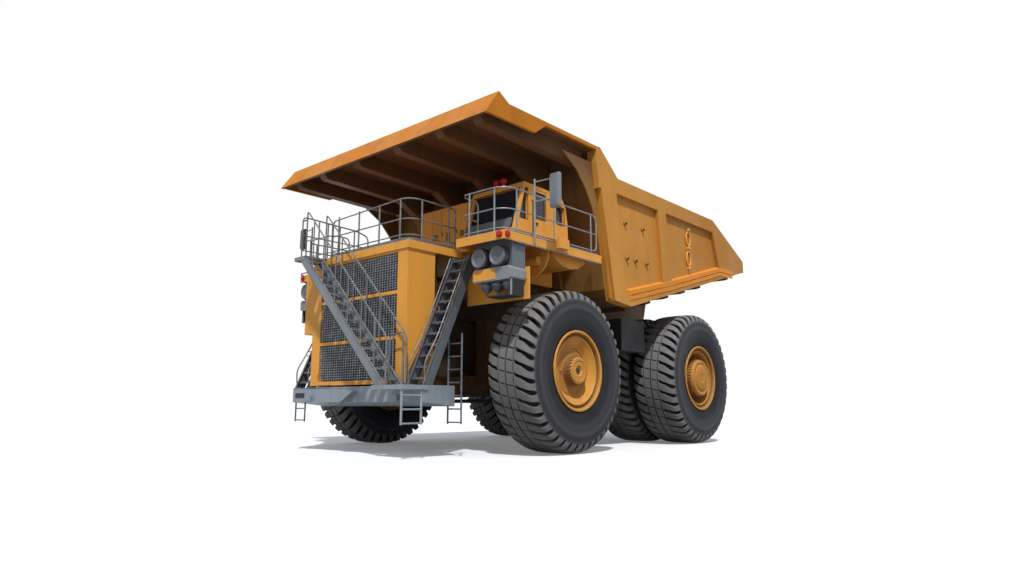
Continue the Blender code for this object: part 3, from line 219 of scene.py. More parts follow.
def weathered(name, fresh, faded, grime, worn, roughness, metallic=0.0, dust=0.5, edge=0.6, streak=0.4,
              edge_width=0.02, bump=0.15, aft=None, under=None, outside=None, raised=None, sunk=None):
    """A finish that goes from fresh to faded in blotches, darkens in runs and pales at edges and tops.

    Dust, edge and streak are strengths. Aft, under and outside are the fresh colour at the tail, below the canopy
    and outside it. Raised and sunk are marks, below and above the wear, as (attribute, shade, strength).
    """
    material = bpy.data.materials.new(name)
    material.use_nodes = True
    tree = material.node_tree
    masks = add_node(tree, "Group")
    masks.node_tree = weathering
    masks.inputs["Edge Width"].default_value = edge_width
    out = masks.outputs
    base = mixed(tree, out["Blotch"], fresh, faded, 0.8)
    if aft:
        base = mixed(tree, out["Aft"], base, aft, 0.9)
    if under:
        base = mixed(tree, out["Under"], base, under, 1.0)
    if outside:
        base = mixed(tree, outer_faces(tree), base, outside, 1.0)
    if raised:
        base = marked_places(tree, base, *raised)
    for mask, shade, strength in (("Streak", grime, streak), ("Low", grime, 0.25 * streak + 0.1),
                                  ("Dust", DUST, dust), ("Edge", worn, edge)):
        base = mixed(tree, out[mask], base, shade, strength)
    if sunk:
        base = marked_places(tree, base, *sunk)
    rough = add_node(tree, "MapRange", {"Value": out["Blotch"], "To Min": roughness - 0.1,
                                        "To Max": min(roughness + 0.2, 1.0)})
    lumps = add_node(tree, "Bump", {"Height": out["Grain"], "Strength": bump, "Distance": 0.004})
    feed(tree, tree.nodes["Principled BSDF"], {
        "Base Color": base, "Roughness": rough.outputs[0], "Metallic": metallic, "Specular IOR Level": 0.3,
        "Normal": lumps.outputs[0]})
    finishes[name] = material


weathered("orange_paint", (0.82, 0.365, 0.045), (0.74, 0.36, 0.08), (0.42, 0.19, 0.05), (0.92, 0.68, 0.38), 0.5,
          dust=0.3, streak=0.3)
weathered("body_paint", (0.62, 0.275, 0.035), (0.53, 0.25, 0.055), (0.36, 0.16, 0.04), (0.84, 0.60, 0.33), 0.55,
          dust=0.2, streak=0.3, aft=(0.42, 0.175, 0.025))
# Painted shade: the orange paint darkened to the dark brown it shows in shadow under the body; the side bolts take
# it too
weathered("shaded_paint", (0.115, 0.057, 0.02), (0.085, 0.043, 0.018), (0.04, 0.023, 0.012), (0.45, 0.24, 0.08),
          0.62, dust=0.12, edge=0.35)
# Painted shade: the canopy and front wall are orange paint, but painted dark brown wherever they face down or in
# under the canopy, and a lighter brown lower down on the front wall; only the outer side edges and upward faces show
# the orange
weathered("canopy_paint_with_painted_shade", (0.165, 0.078, 0.030), (0.125, 0.06, 0.027), (0.06, 0.03, 0.013), (0.50, 0.27, 0.09),
          0.62, dust=0.05, edge=0.12, under=(0.27, 0.135, 0.037), outside=(0.52, 0.178, 0.007))
weathered("galvanised_grey", (0.20, 0.225, 0.26), (0.27, 0.29, 0.315), (0.09, 0.095, 0.10), (0.5, 0.52, 0.55),
          0.5, metallic=0.35, dust=0.3)
weathered("dark_paint", (0.016, 0.017, 0.019), (0.024, 0.024, 0.026), (0.012, 0.011, 0.01), (0.16, 0.15, 0.14),
          0.62)
# Painted shade: a dark brown for the front struts and the engine, which stand in shade under the decks, and for the
# shade inside the hubs' holes and notches
weathered("painted_shade_brown", (0.075, 0.045, 0.024), (0.05, 0.034, 0.022), (0.02, 0.015, 0.012), (0.20, 0.13, 0.07),
          0.65)


# Tyre rubber
# Dark blue-black rubber with dry, slightly mottled side walls. The tread attribute marks the greyer, rubbed
# lugs and, faintly, a lighter band round the side wall's bulge. The recess attribute marks painted shade: the
# near-black floors of the grooves between the lugs, and the side wall darkening towards the bead.
weathered("tyre_rubber", (0.023, 0.026, 0.034), (0.036, 0.040, 0.052), (0.045, 0.043, 0.042), (0.14, 0.14, 0.14),
          0.78, dust=0.12, edge=0.35, streak=0.12, edge_width=0.03, bump=0.3,
          raised=("tread", (0.20, 0.20, 0.205), 0.9), sunk=("recess_shade", (0.007, 0.007, 0.008), 0.9))


# Cab glass
# Dark tinted safety glass, laminated, smooth and slightly dusty, set in rubber seals.
def glass_material():
    """Half clear glass whose tint and roughness follow the blotches."""
    material = bpy.data.materials.new("tinted_glass")
    material.use_nodes = True
    tree = material.node_tree
    masks = add_node(tree, "Group")
    masks.node_tree = weathering
    blotch = masks.outputs["Blotch"]
    haze = add_node(tree, "MapRange", {"Value": blotch, "To Min": 0.03, "To Max": 0.16})
    feed(tree, tree.nodes["Principled BSDF"], {
        "Base Color": mixed(tree, blotch, (0.035, 0.043, 0.06), (0.055, 0.062, 0.08), 0.8),
        "Roughness": haze.outputs[0], "Metallic": 0.0, "IOR": 1.45, "Transmission Weight": 0.55})
    return material


finishes["tinted_glass"] = glass_material()


# Red lamps and ground steel
# Moulded red lenses with fine flutes, and the hoists' hard-chromed rods with a film of oil and dust.
weathered("red_lamp", (0.52, 0.012, 0.01), (0.42, 0.01, 0.01), (0.2, 0.01, 0.01), (0.8, 0.2, 0.15), 0.25,
          dust=0.15, edge=0.2, edge_width=0.006)
weathered("bright_steel", (0.55, 0.56, 0.58), (0.45, 0.45, 0.46), (0.2, 0.18, 0.15), (0.8, 0.8, 0.8), 0.25,
          metallic=1.0, dust=0.3, edge=0.3)

# Every node takes its slot's finish, but for these: the canopy and front wall, the front struts and the engine are
# in brown finishes of painted shade, and the body's sides in a darker orange, darker still toward the tail
OWN_FINISH = {"front_wall_canopy": "canopy_paint_with_painted_shade", "body_side_left": "body_paint", "body_side_right": "body_paint",
              "front_struts": "painted_shade_brown", "engine": "painted_shade_brown"}
for part in frame["record"]["subparts"]:
    node = frame["nodes"][part["node"]]
    node.data.materials.clear()
    node.data.materials.append(finishes[OWN_FINISH.get(part["node"], part["material_slot"])])


# Tyres
# Radial earthmover tyres, 4 m across: a smooth bulged side wall, a deep shoulder lug every 43rd of a turn and a
# middle band with thin cross cuts. Dark rubber, greyer and dusty on the lugs, with painted shade blue-black in
# the grooves and darker towards the bead.
FRONT_AXLE_Y = -2.96
FRONT_WHEEL_X = 3.58
REAR_OUTER_X = 3.62
REAR_INNER_X = 2.04
WHEELBASE = 6.42
TYRE_R = 2.0
LUGS = 43
SIDES = (("left", 1), ("right", -1))
LUG_SLANT = -0.37
GROOVE_ALL_ROUND = 0.5
SHOULDER_X = 0.5
SHOULDER_WIDE = 0.18
TREAD_FOOT_R = 1.74
WALL_BAND_R = 1.56
BEAD_SHADE_R = 1.34
# Half of the tread from its middle to the foot of the shoulder, as (x, radius, depth of the lug groove, its half
# width as a share of the lug spacing), then half of the side wall down to the bead, as (x, radius)
TREAD = [
    (0, 2, 0.075, 0.5), (0.016, 2, 0.075, 0.5), (0.022, 2, 0, 0.06), (0.07, 2, 0.05, 0.06),
    (0.16, 1.999, 0.05, 0.06),
    (0.216, 1.998, 0, 0.06), (0.22, 1.998, 0.065, 0.5), (0.24, 1.998, 0.065, 0.5), (0.246, 1.998, 0, 0.1),
    (0.275, 1.997, 0.125, 0.19), (0.34, 1.995, 0.125, 0.17), (0.41, 1.99, 0.125, 0.15), (0.47, 1.982, 0.125, 0.205),
    (0.53, 1.968, 0.125, 0.22), (0.575, 1.948, 0.122, 0.235), (0.61, 1.922, 0.113, 0.25), (0.634, 1.89, 0.1, 0.26),
    (0.65, 1.855, 0.084, 0.255), (0.662, 1.82, 0.062, 0.235), (0.672, 1.785, 0.032, 0.17), (0.679, 1.75, 0, 0.14)]
WALL = [(0.688, 1.7), (0.698, 1.63), (0.7095, 1.6), (0.7095, 1.52), (0.699, 1.49), (0.692, 1.39), (0.676, 1.345),
        (0.664, 1.24), (0.642, 1.12), (0.622, 1.05), (0.598, 1), (0.56, 0.932)]
TYRE_HALF = np.array(TREAD + [(x, radius, 0, 0.12) for x, radius in WALL])


def grid_faces(rows, columns, wrap_rows=False, wrap_columns=False):
    """Quads between neighbouring points of a rows by columns grid, which may close on itself either way."""
    r, c = np.meshgrid(np.arange(rows if wrap_rows else rows - 1),
                       np.arange(columns if wrap_columns else columns - 1), indexing="ij")
    r2 = (r + 1) % rows
    c2 = (c + 1) % columns
    quads = np.stack([r * columns + c, r2 * columns + c, r2 * columns + c2, r * columns + c2], axis=-1)
    return quads.reshape(-1, 4)


def joined(shells):
    """One pair of arrays from closed shells, each turned so that the volume its faces enclose is positive.

    A shell is a pair of arrays, its points and its quads, measured from the front axle.
    """
    points, faces, start = [], [], 0
    for shell_points, shell_faces in shells:
        a, b, c, d = np.moveaxis(shell_points[shell_faces], 1, 0)
        volume = np.einsum("ij,ij->i", a, np.cross(b, c) + np.cross(c, d)).sum()
        points.append(shell_points + (0.0, FRONT_AXLE_Y, 0.0))
        faces.append((shell_faces if volume > 0 else shell_faces[:, ::-1]) + start)
        start += len(shell_points)
    return np.concatenate(points), np.concatenate(faces)


def put_mesh(name, shells, finish, body, angle=None):
    """A named mesh object from closed shells, shaded smooth up to an angle, riding a body."""
    points, faces = joined(shells)
    mesh = bpy.data.meshes.new(name)
    mesh.from_pydata(points, [], faces)
    mesh.polygons.foreach_set("use_smooth", np.full(len(faces), angle is not None))
    mesh.validate()
    if angle is not None:
        mesh.set_sharp_from_angle(angle=radians(angle))
    mesh.materials.append(finishes[finish])
    piece = bpy.data.objects.new(name, mesh)
    scene.collection.objects.link(piece)
    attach(piece, body)
    return piece


def put_mark(piece, label, share):
    """A mesh attribute that says how strongly each point bears a mark."""
    layer = piece.data.attributes.new(label, "FLOAT", "POINT")
    layer.data.foreach_set("value", np.asarray(share).astype(np.float32).ravel())


def tyre(name, x, y, body):
    """Turn the outline about the axle line, stepping in by the groove depth between lugs.

    Each lug spacing has 7 columns: 3 on the groove's floor and 4 on the lug. A column's angle follows the groove's
    half width at that place across the tread, and slides with LUG_SLANT times the distance from the middle.
    """
    across = np.concatenate([TYRE_HALF[:0:-1] * (-1, 1, 1, 1), TYRE_HALF])
    px, radius, depth, width = across.T
    floor_share = np.array([-0.6, 0.0, 0.6, 0.0, 0.0, 0.0, 0.0])
    lug_share = np.array([0.0, 0.0, 0.0, 0.0, 0.33, 0.67, 1.0])
    on_floor = np.array([1.0, 1.0, 1.0, 0.0, 0.0, 0.0, 0.0])
    w = np.minimum(width, 0.45)[:, None]
    share = np.where(on_floor > 0, floor_share * w, w + lug_share * (1 - 2 * w))
    # Lugs curve: the slide grows with the square of the distance from the middle
    reach = np.clip(np.abs(px), 0, SHOULDER_X + SHOULDER_WIDE)
    slide = (LUG_SLANT * np.sign(x * px) * (0.45 * reach + reach ** 2))[:, None] / TYRE_R
    pitch = 2 * pi / LUGS
    turn = (np.arange(LUGS)[None, :, None] + share[:, None, :]) * pitch + slide[:, :, None]
    sunk = depth[:, None, None] * np.where((width >= GROOVE_ALL_ROUND)[:, None, None], 1.0, on_floor)
    # The way in is radial on the tread and turns to the wheel's middle plane down the shoulder
    lean = np.clip((np.abs(px) - SHOULDER_X) / SHOULDER_WIDE, 0.0, 1.0) * pi / 3
    place_x = px[:, None, None] - (np.sign(px) * np.sin(lean))[:, None, None] * sunk
    place_r = radius[:, None, None] - np.cos(lean)[:, None, None] * sunk
    points = np.stack([x + place_x + 0 * turn, y + place_r * np.sin(turn), TYRE_R + place_r * np.cos(turn)], axis=-1)
    faces = grid_faces(len(px), LUGS * len(on_floor), wrap_rows=True, wrap_columns=True)
    piece = put_mesh(name, [(points.reshape(-1, 3), faces)], "tyre_rubber", body, angle=40)
    worked = np.clip((radius - TREAD_FOOT_R) / 0.05, 0, 1)
    raised = np.clip((0.07 - np.abs(radius - WALL_BAND_R)) / 0.03, 0, 1) * 0.15
    # Painted shade: the side wall darkens towards the bead, where its concave part lies in shade
    grime = np.clip((BEAD_SHADE_R - radius) / 0.12, 0, 0.95)[:, None, None]
    put_mark(piece, "tread", np.maximum(worked, raised)[:, None, None] * (sunk < 0.012) + 0 * turn)
    put_mark(piece, "recess_shade", np.maximum(np.clip(sunk / 0.04, 0, 1), grime) + 0 * turn)
    return piece


for side, sign in SIDES:
    front = tyre("tyre_front_" + side, sign * FRONT_WHEEL_X, 0.0, "front_wheel_" + side)
    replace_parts(front, "front_tyre_" + side)
    outer = tyre("tyre_rear_outer_" + side, sign * REAR_OUTER_X, WHEELBASE, "rear_wheels_" + side)
    inner = tyre("tyre_rear_inner_" + side, sign * REAR_INNER_X, WHEELBASE, "rear_wheels_" + side)
    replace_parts(outer, "rear_tyres_" + side)
    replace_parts(inner, "rear_tyres_" + side)


# Wheel rims and hubs
# Steel rims with a rolled bead flange, a lock ring groove and a deep dished disc. The front hub stands out as a
# drum with a ring of studs, the rear one is the wide planetary drum with ribs round its side.
# The rims' dark mark is partly real brown dirt and partly painted shade: it darkens the dished disc, the hub's foot
# and the lock ring groove
weathered("rim_paint", (0.70, 0.31, 0.04), (0.56, 0.27, 0.055), (0.24, 0.115, 0.035), (0.86, 0.60, 0.32), 0.6,
          dust=0.15, edge=0.5, streak=0.4, aft=(0.44, 0.195, 0.032), sunk=("dirt_and_shade", (0.10, 0.055, 0.025), 0.7))
# Outlines as (x, radius) from the wheel's middle, from the bore at the back round the flanges to the hub's face
OUTER_FLANGE = [(0.6, 0.9297), (0.618, 0.992), (0.636, 0.9925), (0.646, 0.985), (0.646, 0.947), (0.634, 0.93),
                (0.56, 0.915)]
FRONT_RIM = [(0.18, 0.03), (0.18, 0.206), (-0.35, 0.206), (0.08, 0.46), (0.08, 0.8), (-0.6, 0.87), (-0.64, 0.985),
             (-0.62, 0.992), (-0.601, 0.9297), *OUTER_FLANGE, (0.53, 0.9), (0.53, 0.868), (0.555, 0.86),
             (0.575, 0.848), (0.575, 0.815), (0.55, 0.795), (0.51, 0.74), (0.43, 0.64), (0.41, 0.62), (0.43, 0.6),
             (0.43, 0.57), (0.41, 0.56), (0.405, 0.39), (0.42, 0.372), (0.6, 0.35), (0.635, 0.338), (0.65, 0.315),
             (0.655, 0.28), (0.655, 0.25), (0.64, 0.245), (0.64, 0.13), (0.625, 0.115), (0.6, 0.1), (0.6, 0.02)]
REAR_RIM = [(-0.9, 0.03), (-0.9, 0.366), (-2.08, 0.366), (-0.3, 0.66), (-0.3, 0.84), (-2.18, 0.87), (-2.22, 0.985),
            (-2.2, 0.992), (-2.181, 0.9297), *OUTER_FLANGE, (0.54, 0.9), (0.54, 0.865), (0.57, 0.85), (0.57, 0.815),
            (0.55, 0.8), (0.44, 0.78), (0.14, 0.74), (0.12, 0.72), (0.11, 0.6), (0.14, 0.575), (0.6, 0.56),
            (0.64, 0.55), (0.66, 0.53), (0.66, 0.47), (0.645, 0.455), (0.645, 0.4), (0.67, 0.38), (0.68, 0.36),
            (0.68, 0.15), (0.665, 0.13), (0.665, 0.02)]
# One row a ring of studs: number, ring's radius, from and to along the axle, stud's radius
FRONT_STUDS = ((2, 0.47, 0.4, 0.45, 0.03), (12, 0.18, 0.63, 0.65, 0.012))
REAR_STUDS = ((30, 0.5, 0.65, 0.678, 0.016), (12, 0.3, 0.67, 0.695, 0.016), (40, 0.66, 0.1, 0.17, 0.022))
HUB_HOLES = ((24, 0.292, 0.64, 0.657, 0.015), (1, 0.0, 0.6, 0.628, 0.07, 20))
# A ring of ribs: number, inner and outer radius, from and to along the axle, half its angle
FRONT_RIBS = (24, 0.33, 0.366, 0.44, 0.6, 0.06)
REAR_RIBS = (40, 0.55, 0.585, 0.16, 0.58, 0.025)
HUB_SLOTS = (24, 0.3, 0.353, 0.56, 0.64, 0.035)
# Rings of dirt and painted shade: inner and outer radius and how dark
FRONT_DIRT_AND_SHADE = ((0.345, 0.375, 1.0), (0.375, 0.6, 0.55), (0.84, 0.92, 1.0))
REAR_DIRT_AND_SHADE = ((0.563, 0.735, 1.0), (0.84, 0.92, 1.0))


def rings(rows, sides, closed=False):
    """Quads of a skin of rings, joined end to end when closed and else shut by quads across both end rings."""
    faces = grid_faces(rows, sides, wrap_rows=closed, wrap_columns=True)
    if closed:
        return faces
    k = np.arange(sides // 2 - 1)
    cap = np.stack([k, k + 1, sides - 2 - k, sides - 1 - k], axis=-1)
    return np.concatenate([faces, cap, cap[:, ::-1] + (rows - 1) * sides])


def lathe(outline, start, way, sides=24):
    """An outline of (along, radius) turned about a line.

    A point is start + way * along + radius * (cos t * across + sin t * over).
    """
    along, radius = np.array(outline, float).T
    way = np.array(way, float) / np.linalg.norm(way)
    across = np.cross(way, (0.36, 0.52, 0.77))
    across /= np.linalg.norm(across)
    over = np.cross(way, across)
    t = np.arange(sides)[:, None] * 2 * pi / sides
    spoke = np.cos(t) * across + np.sin(t) * over
    points = np.asarray(start) + along[:, None, None] * way + radius[:, None, None] * spoke
    return points.reshape(-1, 3), rings(len(along), sides)


def studs(centre, sign, count, ring_r, x0, x1, radius, sides=8):
    """Round studs along the axle line, evenly round a ring, each narrowing over its last third."""
    outline = [(0, radius), (abs(x1 - x0) * 0.7, radius), (abs(x1 - x0), radius * 0.6)]
    turns = [2 * pi * (k + 0.5) / count for k in range(count)]
    return [lathe(outline, (centre[0] + sign * x0, centre[1] + ring_r * sin(t), centre[2] + ring_r * cos(t)),
                  (sign, 0, 0), sides) for t in turns]


HEX_FACES = np.array([(0, 1, 3, 2), (4, 6, 7, 5), (0, 4, 5, 1), (2, 3, 7, 6), (0, 2, 6, 4), (1, 5, 7, 3)])


def hexes(corners):
    """Six-sided solids from (count, 8, 3) corners, numbered as X, then Y, then Z varies fastest."""
    corners = np.array(corners, float)
    starts = np.arange(len(corners)) * 8
    return corners.reshape(-1, 3), (HEX_FACES[None] + starts[:, None, None]).reshape(-1, 4)


def ribs(centre, sign, count, r0, r1, x0, x1, half_turn):
    """Bars along a drum's side: corners at two radii, two places along the axle and two angles each."""
    turns = [2 * pi * k / count for k in range(count)]
    return hexes([[(centre[0] + sign * x, centre[1] + r * sin(t + a), centre[2] + r * cos(t + a))
                   for x in (x0, x1) for r in (r0, r1) for a in (-half_turn, half_turn)] for t in turns])


def rim(name, outline, centre, sign, stud_rows, rib_row, dirt_and_shade, body):
    """A rim with its hub. Its dirt and painted shade lie where a point's distance from the axle is between a ring's
    radii.
    """
    shells = [lathe(outline, centre, (sign, 0, 0), 96)]
    for row in stud_rows:
        shells += studs(centre, sign, *row)
    shells.append(ribs(centre, sign, *rib_row))
    piece = put_mesh(name, shells, "rim_paint", body, angle=32)
    points = np.empty(len(piece.data.vertices) * 3)
    piece.data.vertices.foreach_get("co", points)
    points = points.reshape(-1, 3) - (centre[0], centre[1] + FRONT_AXLE_Y, centre[2])
    radius = np.hypot(points[:, 1], points[:, 2])
    share = [amount * ((radius > low) & (radius < high)) for low, high, amount in dirt_and_shade]
    put_mark(piece, "dirt_and_shade", np.max(share, axis=0))
    return piece


for side, sign in SIDES:
    hub = (sign * FRONT_WHEEL_X, 0.0, TYRE_R)
    # Painted shade: the hub's holes and notches are dark studs and ribs that stand for the shade inside them
    hole_and_notch_shade = [shell for row in HUB_HOLES for shell in studs(hub, sign, *row)] + [ribs(hub, sign, *HUB_SLOTS)]
    put_mesh("hub_hole_and_notch_shade_" + side, hole_and_notch_shade, "painted_shade_brown", "front_wheel_" + side)
    piece = rim("rim_front_" + side, FRONT_RIM, hub, sign, FRONT_STUDS, FRONT_RIBS, FRONT_DIRT_AND_SHADE,
                "front_wheel_" + side)
    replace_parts(piece, "front_rim_" + side)
    hub = (sign * REAR_OUTER_X, WHEELBASE, TYRE_R)
    piece = rim("rims_rear_" + side, REAR_RIM, hub, sign, REAR_STUDS, REAR_RIBS, REAR_DIRT_AND_SHADE, "rear_wheels_" + side)
    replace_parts(piece, "rear_rims_" + side)


# Stairs and centre guard rail
# Two galvanised channel stringers a flight with folded treads between them, and round tube handrails on posts
# welded to the stringers. The front flight crosses the grille and lands beside a railed way to the centre deck.
# Painted shade: the handrails' grey is the galvanised steel darkened to the shade seen along the thin tubes
weathered("rail_grey_with_painted_shade", (0.13, 0.14, 0.155), (0.18, 0.19, 0.205), (0.06, 0.062, 0.066), (0.42, 0.43, 0.45), 0.5,
          metallic=0.35, dust=0.25)
weathered("cap_slate", (0.115, 0.13, 0.16), (0.155, 0.17, 0.20), (0.06, 0.065, 0.07), (0.45, 0.47, 0.5), 0.45,
          metallic=0.3, dust=0.25)
DECK_Z = 5.03
BUMPER_Z = 1.6
LANDING_Z = 4.97
RAIL_TOP_Z = 6.1
TUBE_R = 0.019
THIN_TUBE_R = 0.016
POST_R = 0.021
POST_FOOT = [(0, 0.055), (0.012, 0.055)]
GOING = 0.2
FOLD = 0.03
NEAR_RAIL_Y = -4.235
FAR_RAIL_Y = -3.695
SIDE_RAIL_X = -1.57
SIDE_RAIL_END_Y = -2.13
GUARD_X = 1.85
GUARD_Y = -3.5
GUARD_END_Y = -1.99


def rounded(path, radius, steps=5):
    """A path whose corners are arcs: from the point a radius before a corner to the one a radius after it."""
    path = np.array(path, float)
    share = np.linspace(0.0, 1.0, steps + 1)[:, None]
    line = [path[:1]]
    for before, corner, after in zip(path, path[1:], path[2:]):
        back, on = before - corner, after - corner
        back_length, on_length = np.linalg.norm(back), np.linalg.norm(on)
        reach = min(radius, back_length * 0.49, on_length * 0.49)
        start = corner + back / back_length * reach
        end = corner + on / on_length * reach
        line.append((1 - share) ** 2 * start + 2 * share * (1 - share) * corner + share ** 2 * end)
    line.append(path[-1:])
    return np.concatenate(line)


def tube(path, radius, sides=8, closed=False):
    """A ring of points carried along a path: centre + radius * (cos t * across + sin t * over).

    Across and over stand square to the path's direction, which at a bend is the mean of its two sides. The rings
    are carried from bend to bend without twist.
    """
    path = np.array(path, float)
    way = np.diff(path, axis=0, append=path[:1]) if closed else np.diff(path, axis=0)
    way /= np.linalg.norm(way, axis=1)[:, None]
    way = (np.roll(way, 1, axis=0) + way) if closed else np.concatenate([way[:1], way[:-1] + way[1:], way[-1:]])
    way /= np.linalg.norm(way, axis=1)[:, None]
    t = np.arange(sides)[:, None] * 2 * pi / sides
    across = np.cross(way[0], (0.36, 0.52, 0.77))
    points = []
    for centre, ahead in zip(path, way):
        across = across - ahead * np.dot(across, ahead)
        across = across / np.linalg.norm(across)
        points.append(centre + radius * (np.cos(t) * across + np.sin(t) * np.cross(ahead, across)))
    return np.concatenate(points), rings(len(path), sides, closed)


def bars(lows, highs):
    """Boxes from their lowest and highest corners."""
    ends = np.stack([np.array(lows, float), np.array(highs, float)], axis=1)
    pick = np.array([(i, j, k) for i in (0, 1) for j in (0, 1) for k in (0, 1)])
    return hexes(np.stack([ends[:, pick[:, axis], axis] for axis in range(3)], axis=-1))


def slab(low_edge, high_edge, thick):
    """A flat bar between two edges of two points each, grown by the vector thick."""
    a, b = np.array(low_edge, float)
    c, d = np.array(high_edge, float)
    thick = np.array(thick, float)
    return hexes([[a, a + thick, b, b + thick, c, c + thick, d, d + thick]])


def flight(foot, head, wide, depth, plate, flange, treads):
    """Stringers and treads of a stair.

    Foot and head are the stringer's lower front corners, wide the vector from one stringer to the other, and depth
    the vector from a stringer's lower edge to its upper edge.
    """
    foot, head, wide, depth = (np.array(v, float) for v in (foot, head, wide, depth))
    unit = wide / np.linalg.norm(wide)
    lip = depth * plate / np.linalg.norm(depth)
    shells = []
    for at, inward in ((foot * 0, unit), (wide, -unit)):
        a, b = foot + at, head + at
        shells.append(slab([a, a + depth], [b, b + depth], inward * plate))
        shells += [slab([a + edge, a + edge + lip], [b + edge, b + edge + lip], inward * flange)
                   for edge in (depth * 0, depth - lip)]
    run = head - foot
    level = run * (1, 1, 0) / np.linalg.norm(run[:2])
    span = wide - 2 * unit * plate
    for share in (np.arange(treads) + 0.6) / treads:
        front = foot + run * share + depth * 0.5 + unit * plate - level * GOING * 0.5
        back = front + level * GOING
        nose = front + level * plate / 2
        shells.append(slab([front, front + span], [back, back + span], (0, 0, plate)))
        shells.append(slab([front, front + span], [nose, nose + span], (0, 0, -FOLD)))
    return shells


def strip(line, low, high, thick):
    """An upright flat bar along a line of (x, y), from one height to another."""
    line = np.array(line, float)
    way = np.diff(line, axis=0)
    way /= np.linalg.norm(way, axis=1)[:, None]
    way = np.concatenate([way[:1], way[:-1] + way[1:], way[-1:]])
    way /= np.linalg.norm(way, axis=1)[:, None]
    side = np.stack([way[:, 1], -way[:, 0]], axis=1) * thick / 2
    ring = [np.insert(line + side, 2, low, axis=1), np.insert(line + side, 2, high, axis=1),
            np.insert(line - side, 2, high, axis=1), np.insert(line - side, 2, low, axis=1)]
    return np.stack(ring, axis=1).reshape(-1, 3), rings(len(line), 4)


def turn_left(x, y, radius, steps=8):
    """The points of a quarter turn from heading +X to heading +Y that ends at (x, y + radius)."""
    t = np.radians(np.linspace(-90, 0, steps + 1))
    return [(x - radius + radius * c, y + radius + radius * s) for c, s in zip(np.cos(t), np.sin(t))]


def at_height(line, z):
    """A line of (x, y) laid level at a height."""
    return [(x, y, z) for x, y in line]


def posts(places, top):
    """Rail posts from the deck up, each on a round foot plate."""
    return [shell for x, y in places for shell in (tube([(x, y, DECK_Z), (x, y, top)], POST_R),
                                                   lathe(POST_FOOT, (x, y, DECK_Z), (0, 0, 1), 12))]


def mirrored(shells, sign):
    """Shells made for the left side, turned over to the right one when sign is -1."""
    return [(points * (sign, 1, 1), faces) for points, faces in shells]


shells = flight(foot=(1.69, -4.25, 1.615), head=(-1.67, -4.25, 4.965), wide=(0, 0.57, 0), depth=(0.32, 0, 0),
                plate=0.012, flange=0.05, treads=14)
shells.append(bars([(-1.85, -4.25, 4.93), (-1.85, -4.26, 4.89), (-1.87, -4.25, 4.89)],
                   [(-1.36, -3.6, 4.99), (-1.36, -4.24, 4.99), (-1.84, -3.6, 4.99)]))
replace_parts(put_mesh("front_stair", shells, "galvanised_grey", "chassis"), "front_stair")

shells = []
# One row a handrail: its place across the stair, the foot's X, the knee's height and the X of the straight down
for y, foot_x, knee_z, end_x in ((NEAR_RAIL_Y, 2.06, 2.67, -1.36), (FAR_RAIL_Y, 2.1, 2.73, -1.3)):
    slope = (6.08 - knee_z) / (foot_x - end_x - 0.1)
    rail = [(foot_x, BUMPER_Z), (foot_x, knee_z), (end_x + 0.1, 6.08), (end_x, 6.16), (end_x, LANDING_Z)]
    shells.append(tube(rounded([(x, y, z) for x, z in rail], 0.16), TUBE_R))
    shells += [tube([(x, y, 3.44 - x), (x, y, knee_z + (foot_x - x) * slope)], THIN_TUBE_R)
               for x in (1.62, 1.1, 0.55, 0.0, -0.55, -1.02)]
side_rail = [(NEAR_RAIL_Y, LANDING_Z), (NEAR_RAIL_Y, 6.06), (-2.5, 5.99), (SIDE_RAIL_END_Y, 5.88),
             (SIDE_RAIL_END_Y, DECK_Z)]
gate = [(1.56, BUMPER_Z), (1.56, 2.76), (2.04, 2.82), (2.04, BUMPER_Z)]
shells += [tube(rounded([(x, -3.75, z) for x, z in gate], 0.1), 0.02),
           tube(rounded([(SIDE_RAIL_X, y, z) for y, z in side_rail], 0.14), TUBE_R)]
shells += [tube([(SIDE_RAIL_X, y, z) for y in (NEAR_RAIL_Y, SIDE_RAIL_END_Y)], THIN_TUBE_R) for z in (5.16, 5.56)]
shells += [tube([(SIDE_RAIL_X, y, low), (SIDE_RAIL_X, y, 6.01)], 0.02)
           for y, low in ((-3.74, LANDING_Z), (-3.46, DECK_Z), (-3.08, DECK_Z), (-2.6, DECK_Z))]
shells += [tube([(SIDE_RAIL_X, NEAR_RAIL_Y, 5.94), (-1.36, NEAR_RAIL_Y, 5.94)], 0.02),
           tube([(-1.3, FAR_RAIL_Y, 5.94), (-1.27, GUARD_Y, 5.94)], 0.02)]
guard = [(-1.27, GUARD_Y)] + turn_left(GUARD_X, GUARD_Y, 0.35)
rise = rounded([(-1.27, GUARD_Y, DECK_Z), (-1.27, GUARD_Y, 5.95), (-1.15, GUARD_Y, RAIL_TOP_Z)], 0.1)[:-1]
drop = rounded([(GUARD_X, y, z) for y, z in ((-2.3, RAIL_TOP_Z), (GUARD_END_Y, RAIL_TOP_Z), (GUARD_END_Y, DECK_Z))],
               0.16)
shells.append(tube([*rise, *at_height(guard[1:], RAIL_TOP_Z), *drop], TUBE_R))
shells += [tube(at_height(guard + [(GUARD_X, GUARD_END_Y)], z), THIN_TUBE_R) for z in (5.2, 5.6)]
shells += posts([(x, GUARD_Y) for x in (-1.01, -0.13, 0.71, 1.52)], RAIL_TOP_Z)
shells += posts([(GUARD_X, y) for y in (-3.1, -2.21)], RAIL_TOP_Z)
toe_board = [(-1.24, -3.575)] + turn_left(1.935, -3.575, 0.27) + [(1.935, -2.13)]
shells.append(strip(toe_board, low=DECK_Z, high=DECK_Z + 0.065, thick=0.012))
rails = put_mesh("front_stair_and_guard_rails", shells, "rail_grey_with_painted_shade", "chassis", angle=40)
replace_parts(rails, "front_stair")

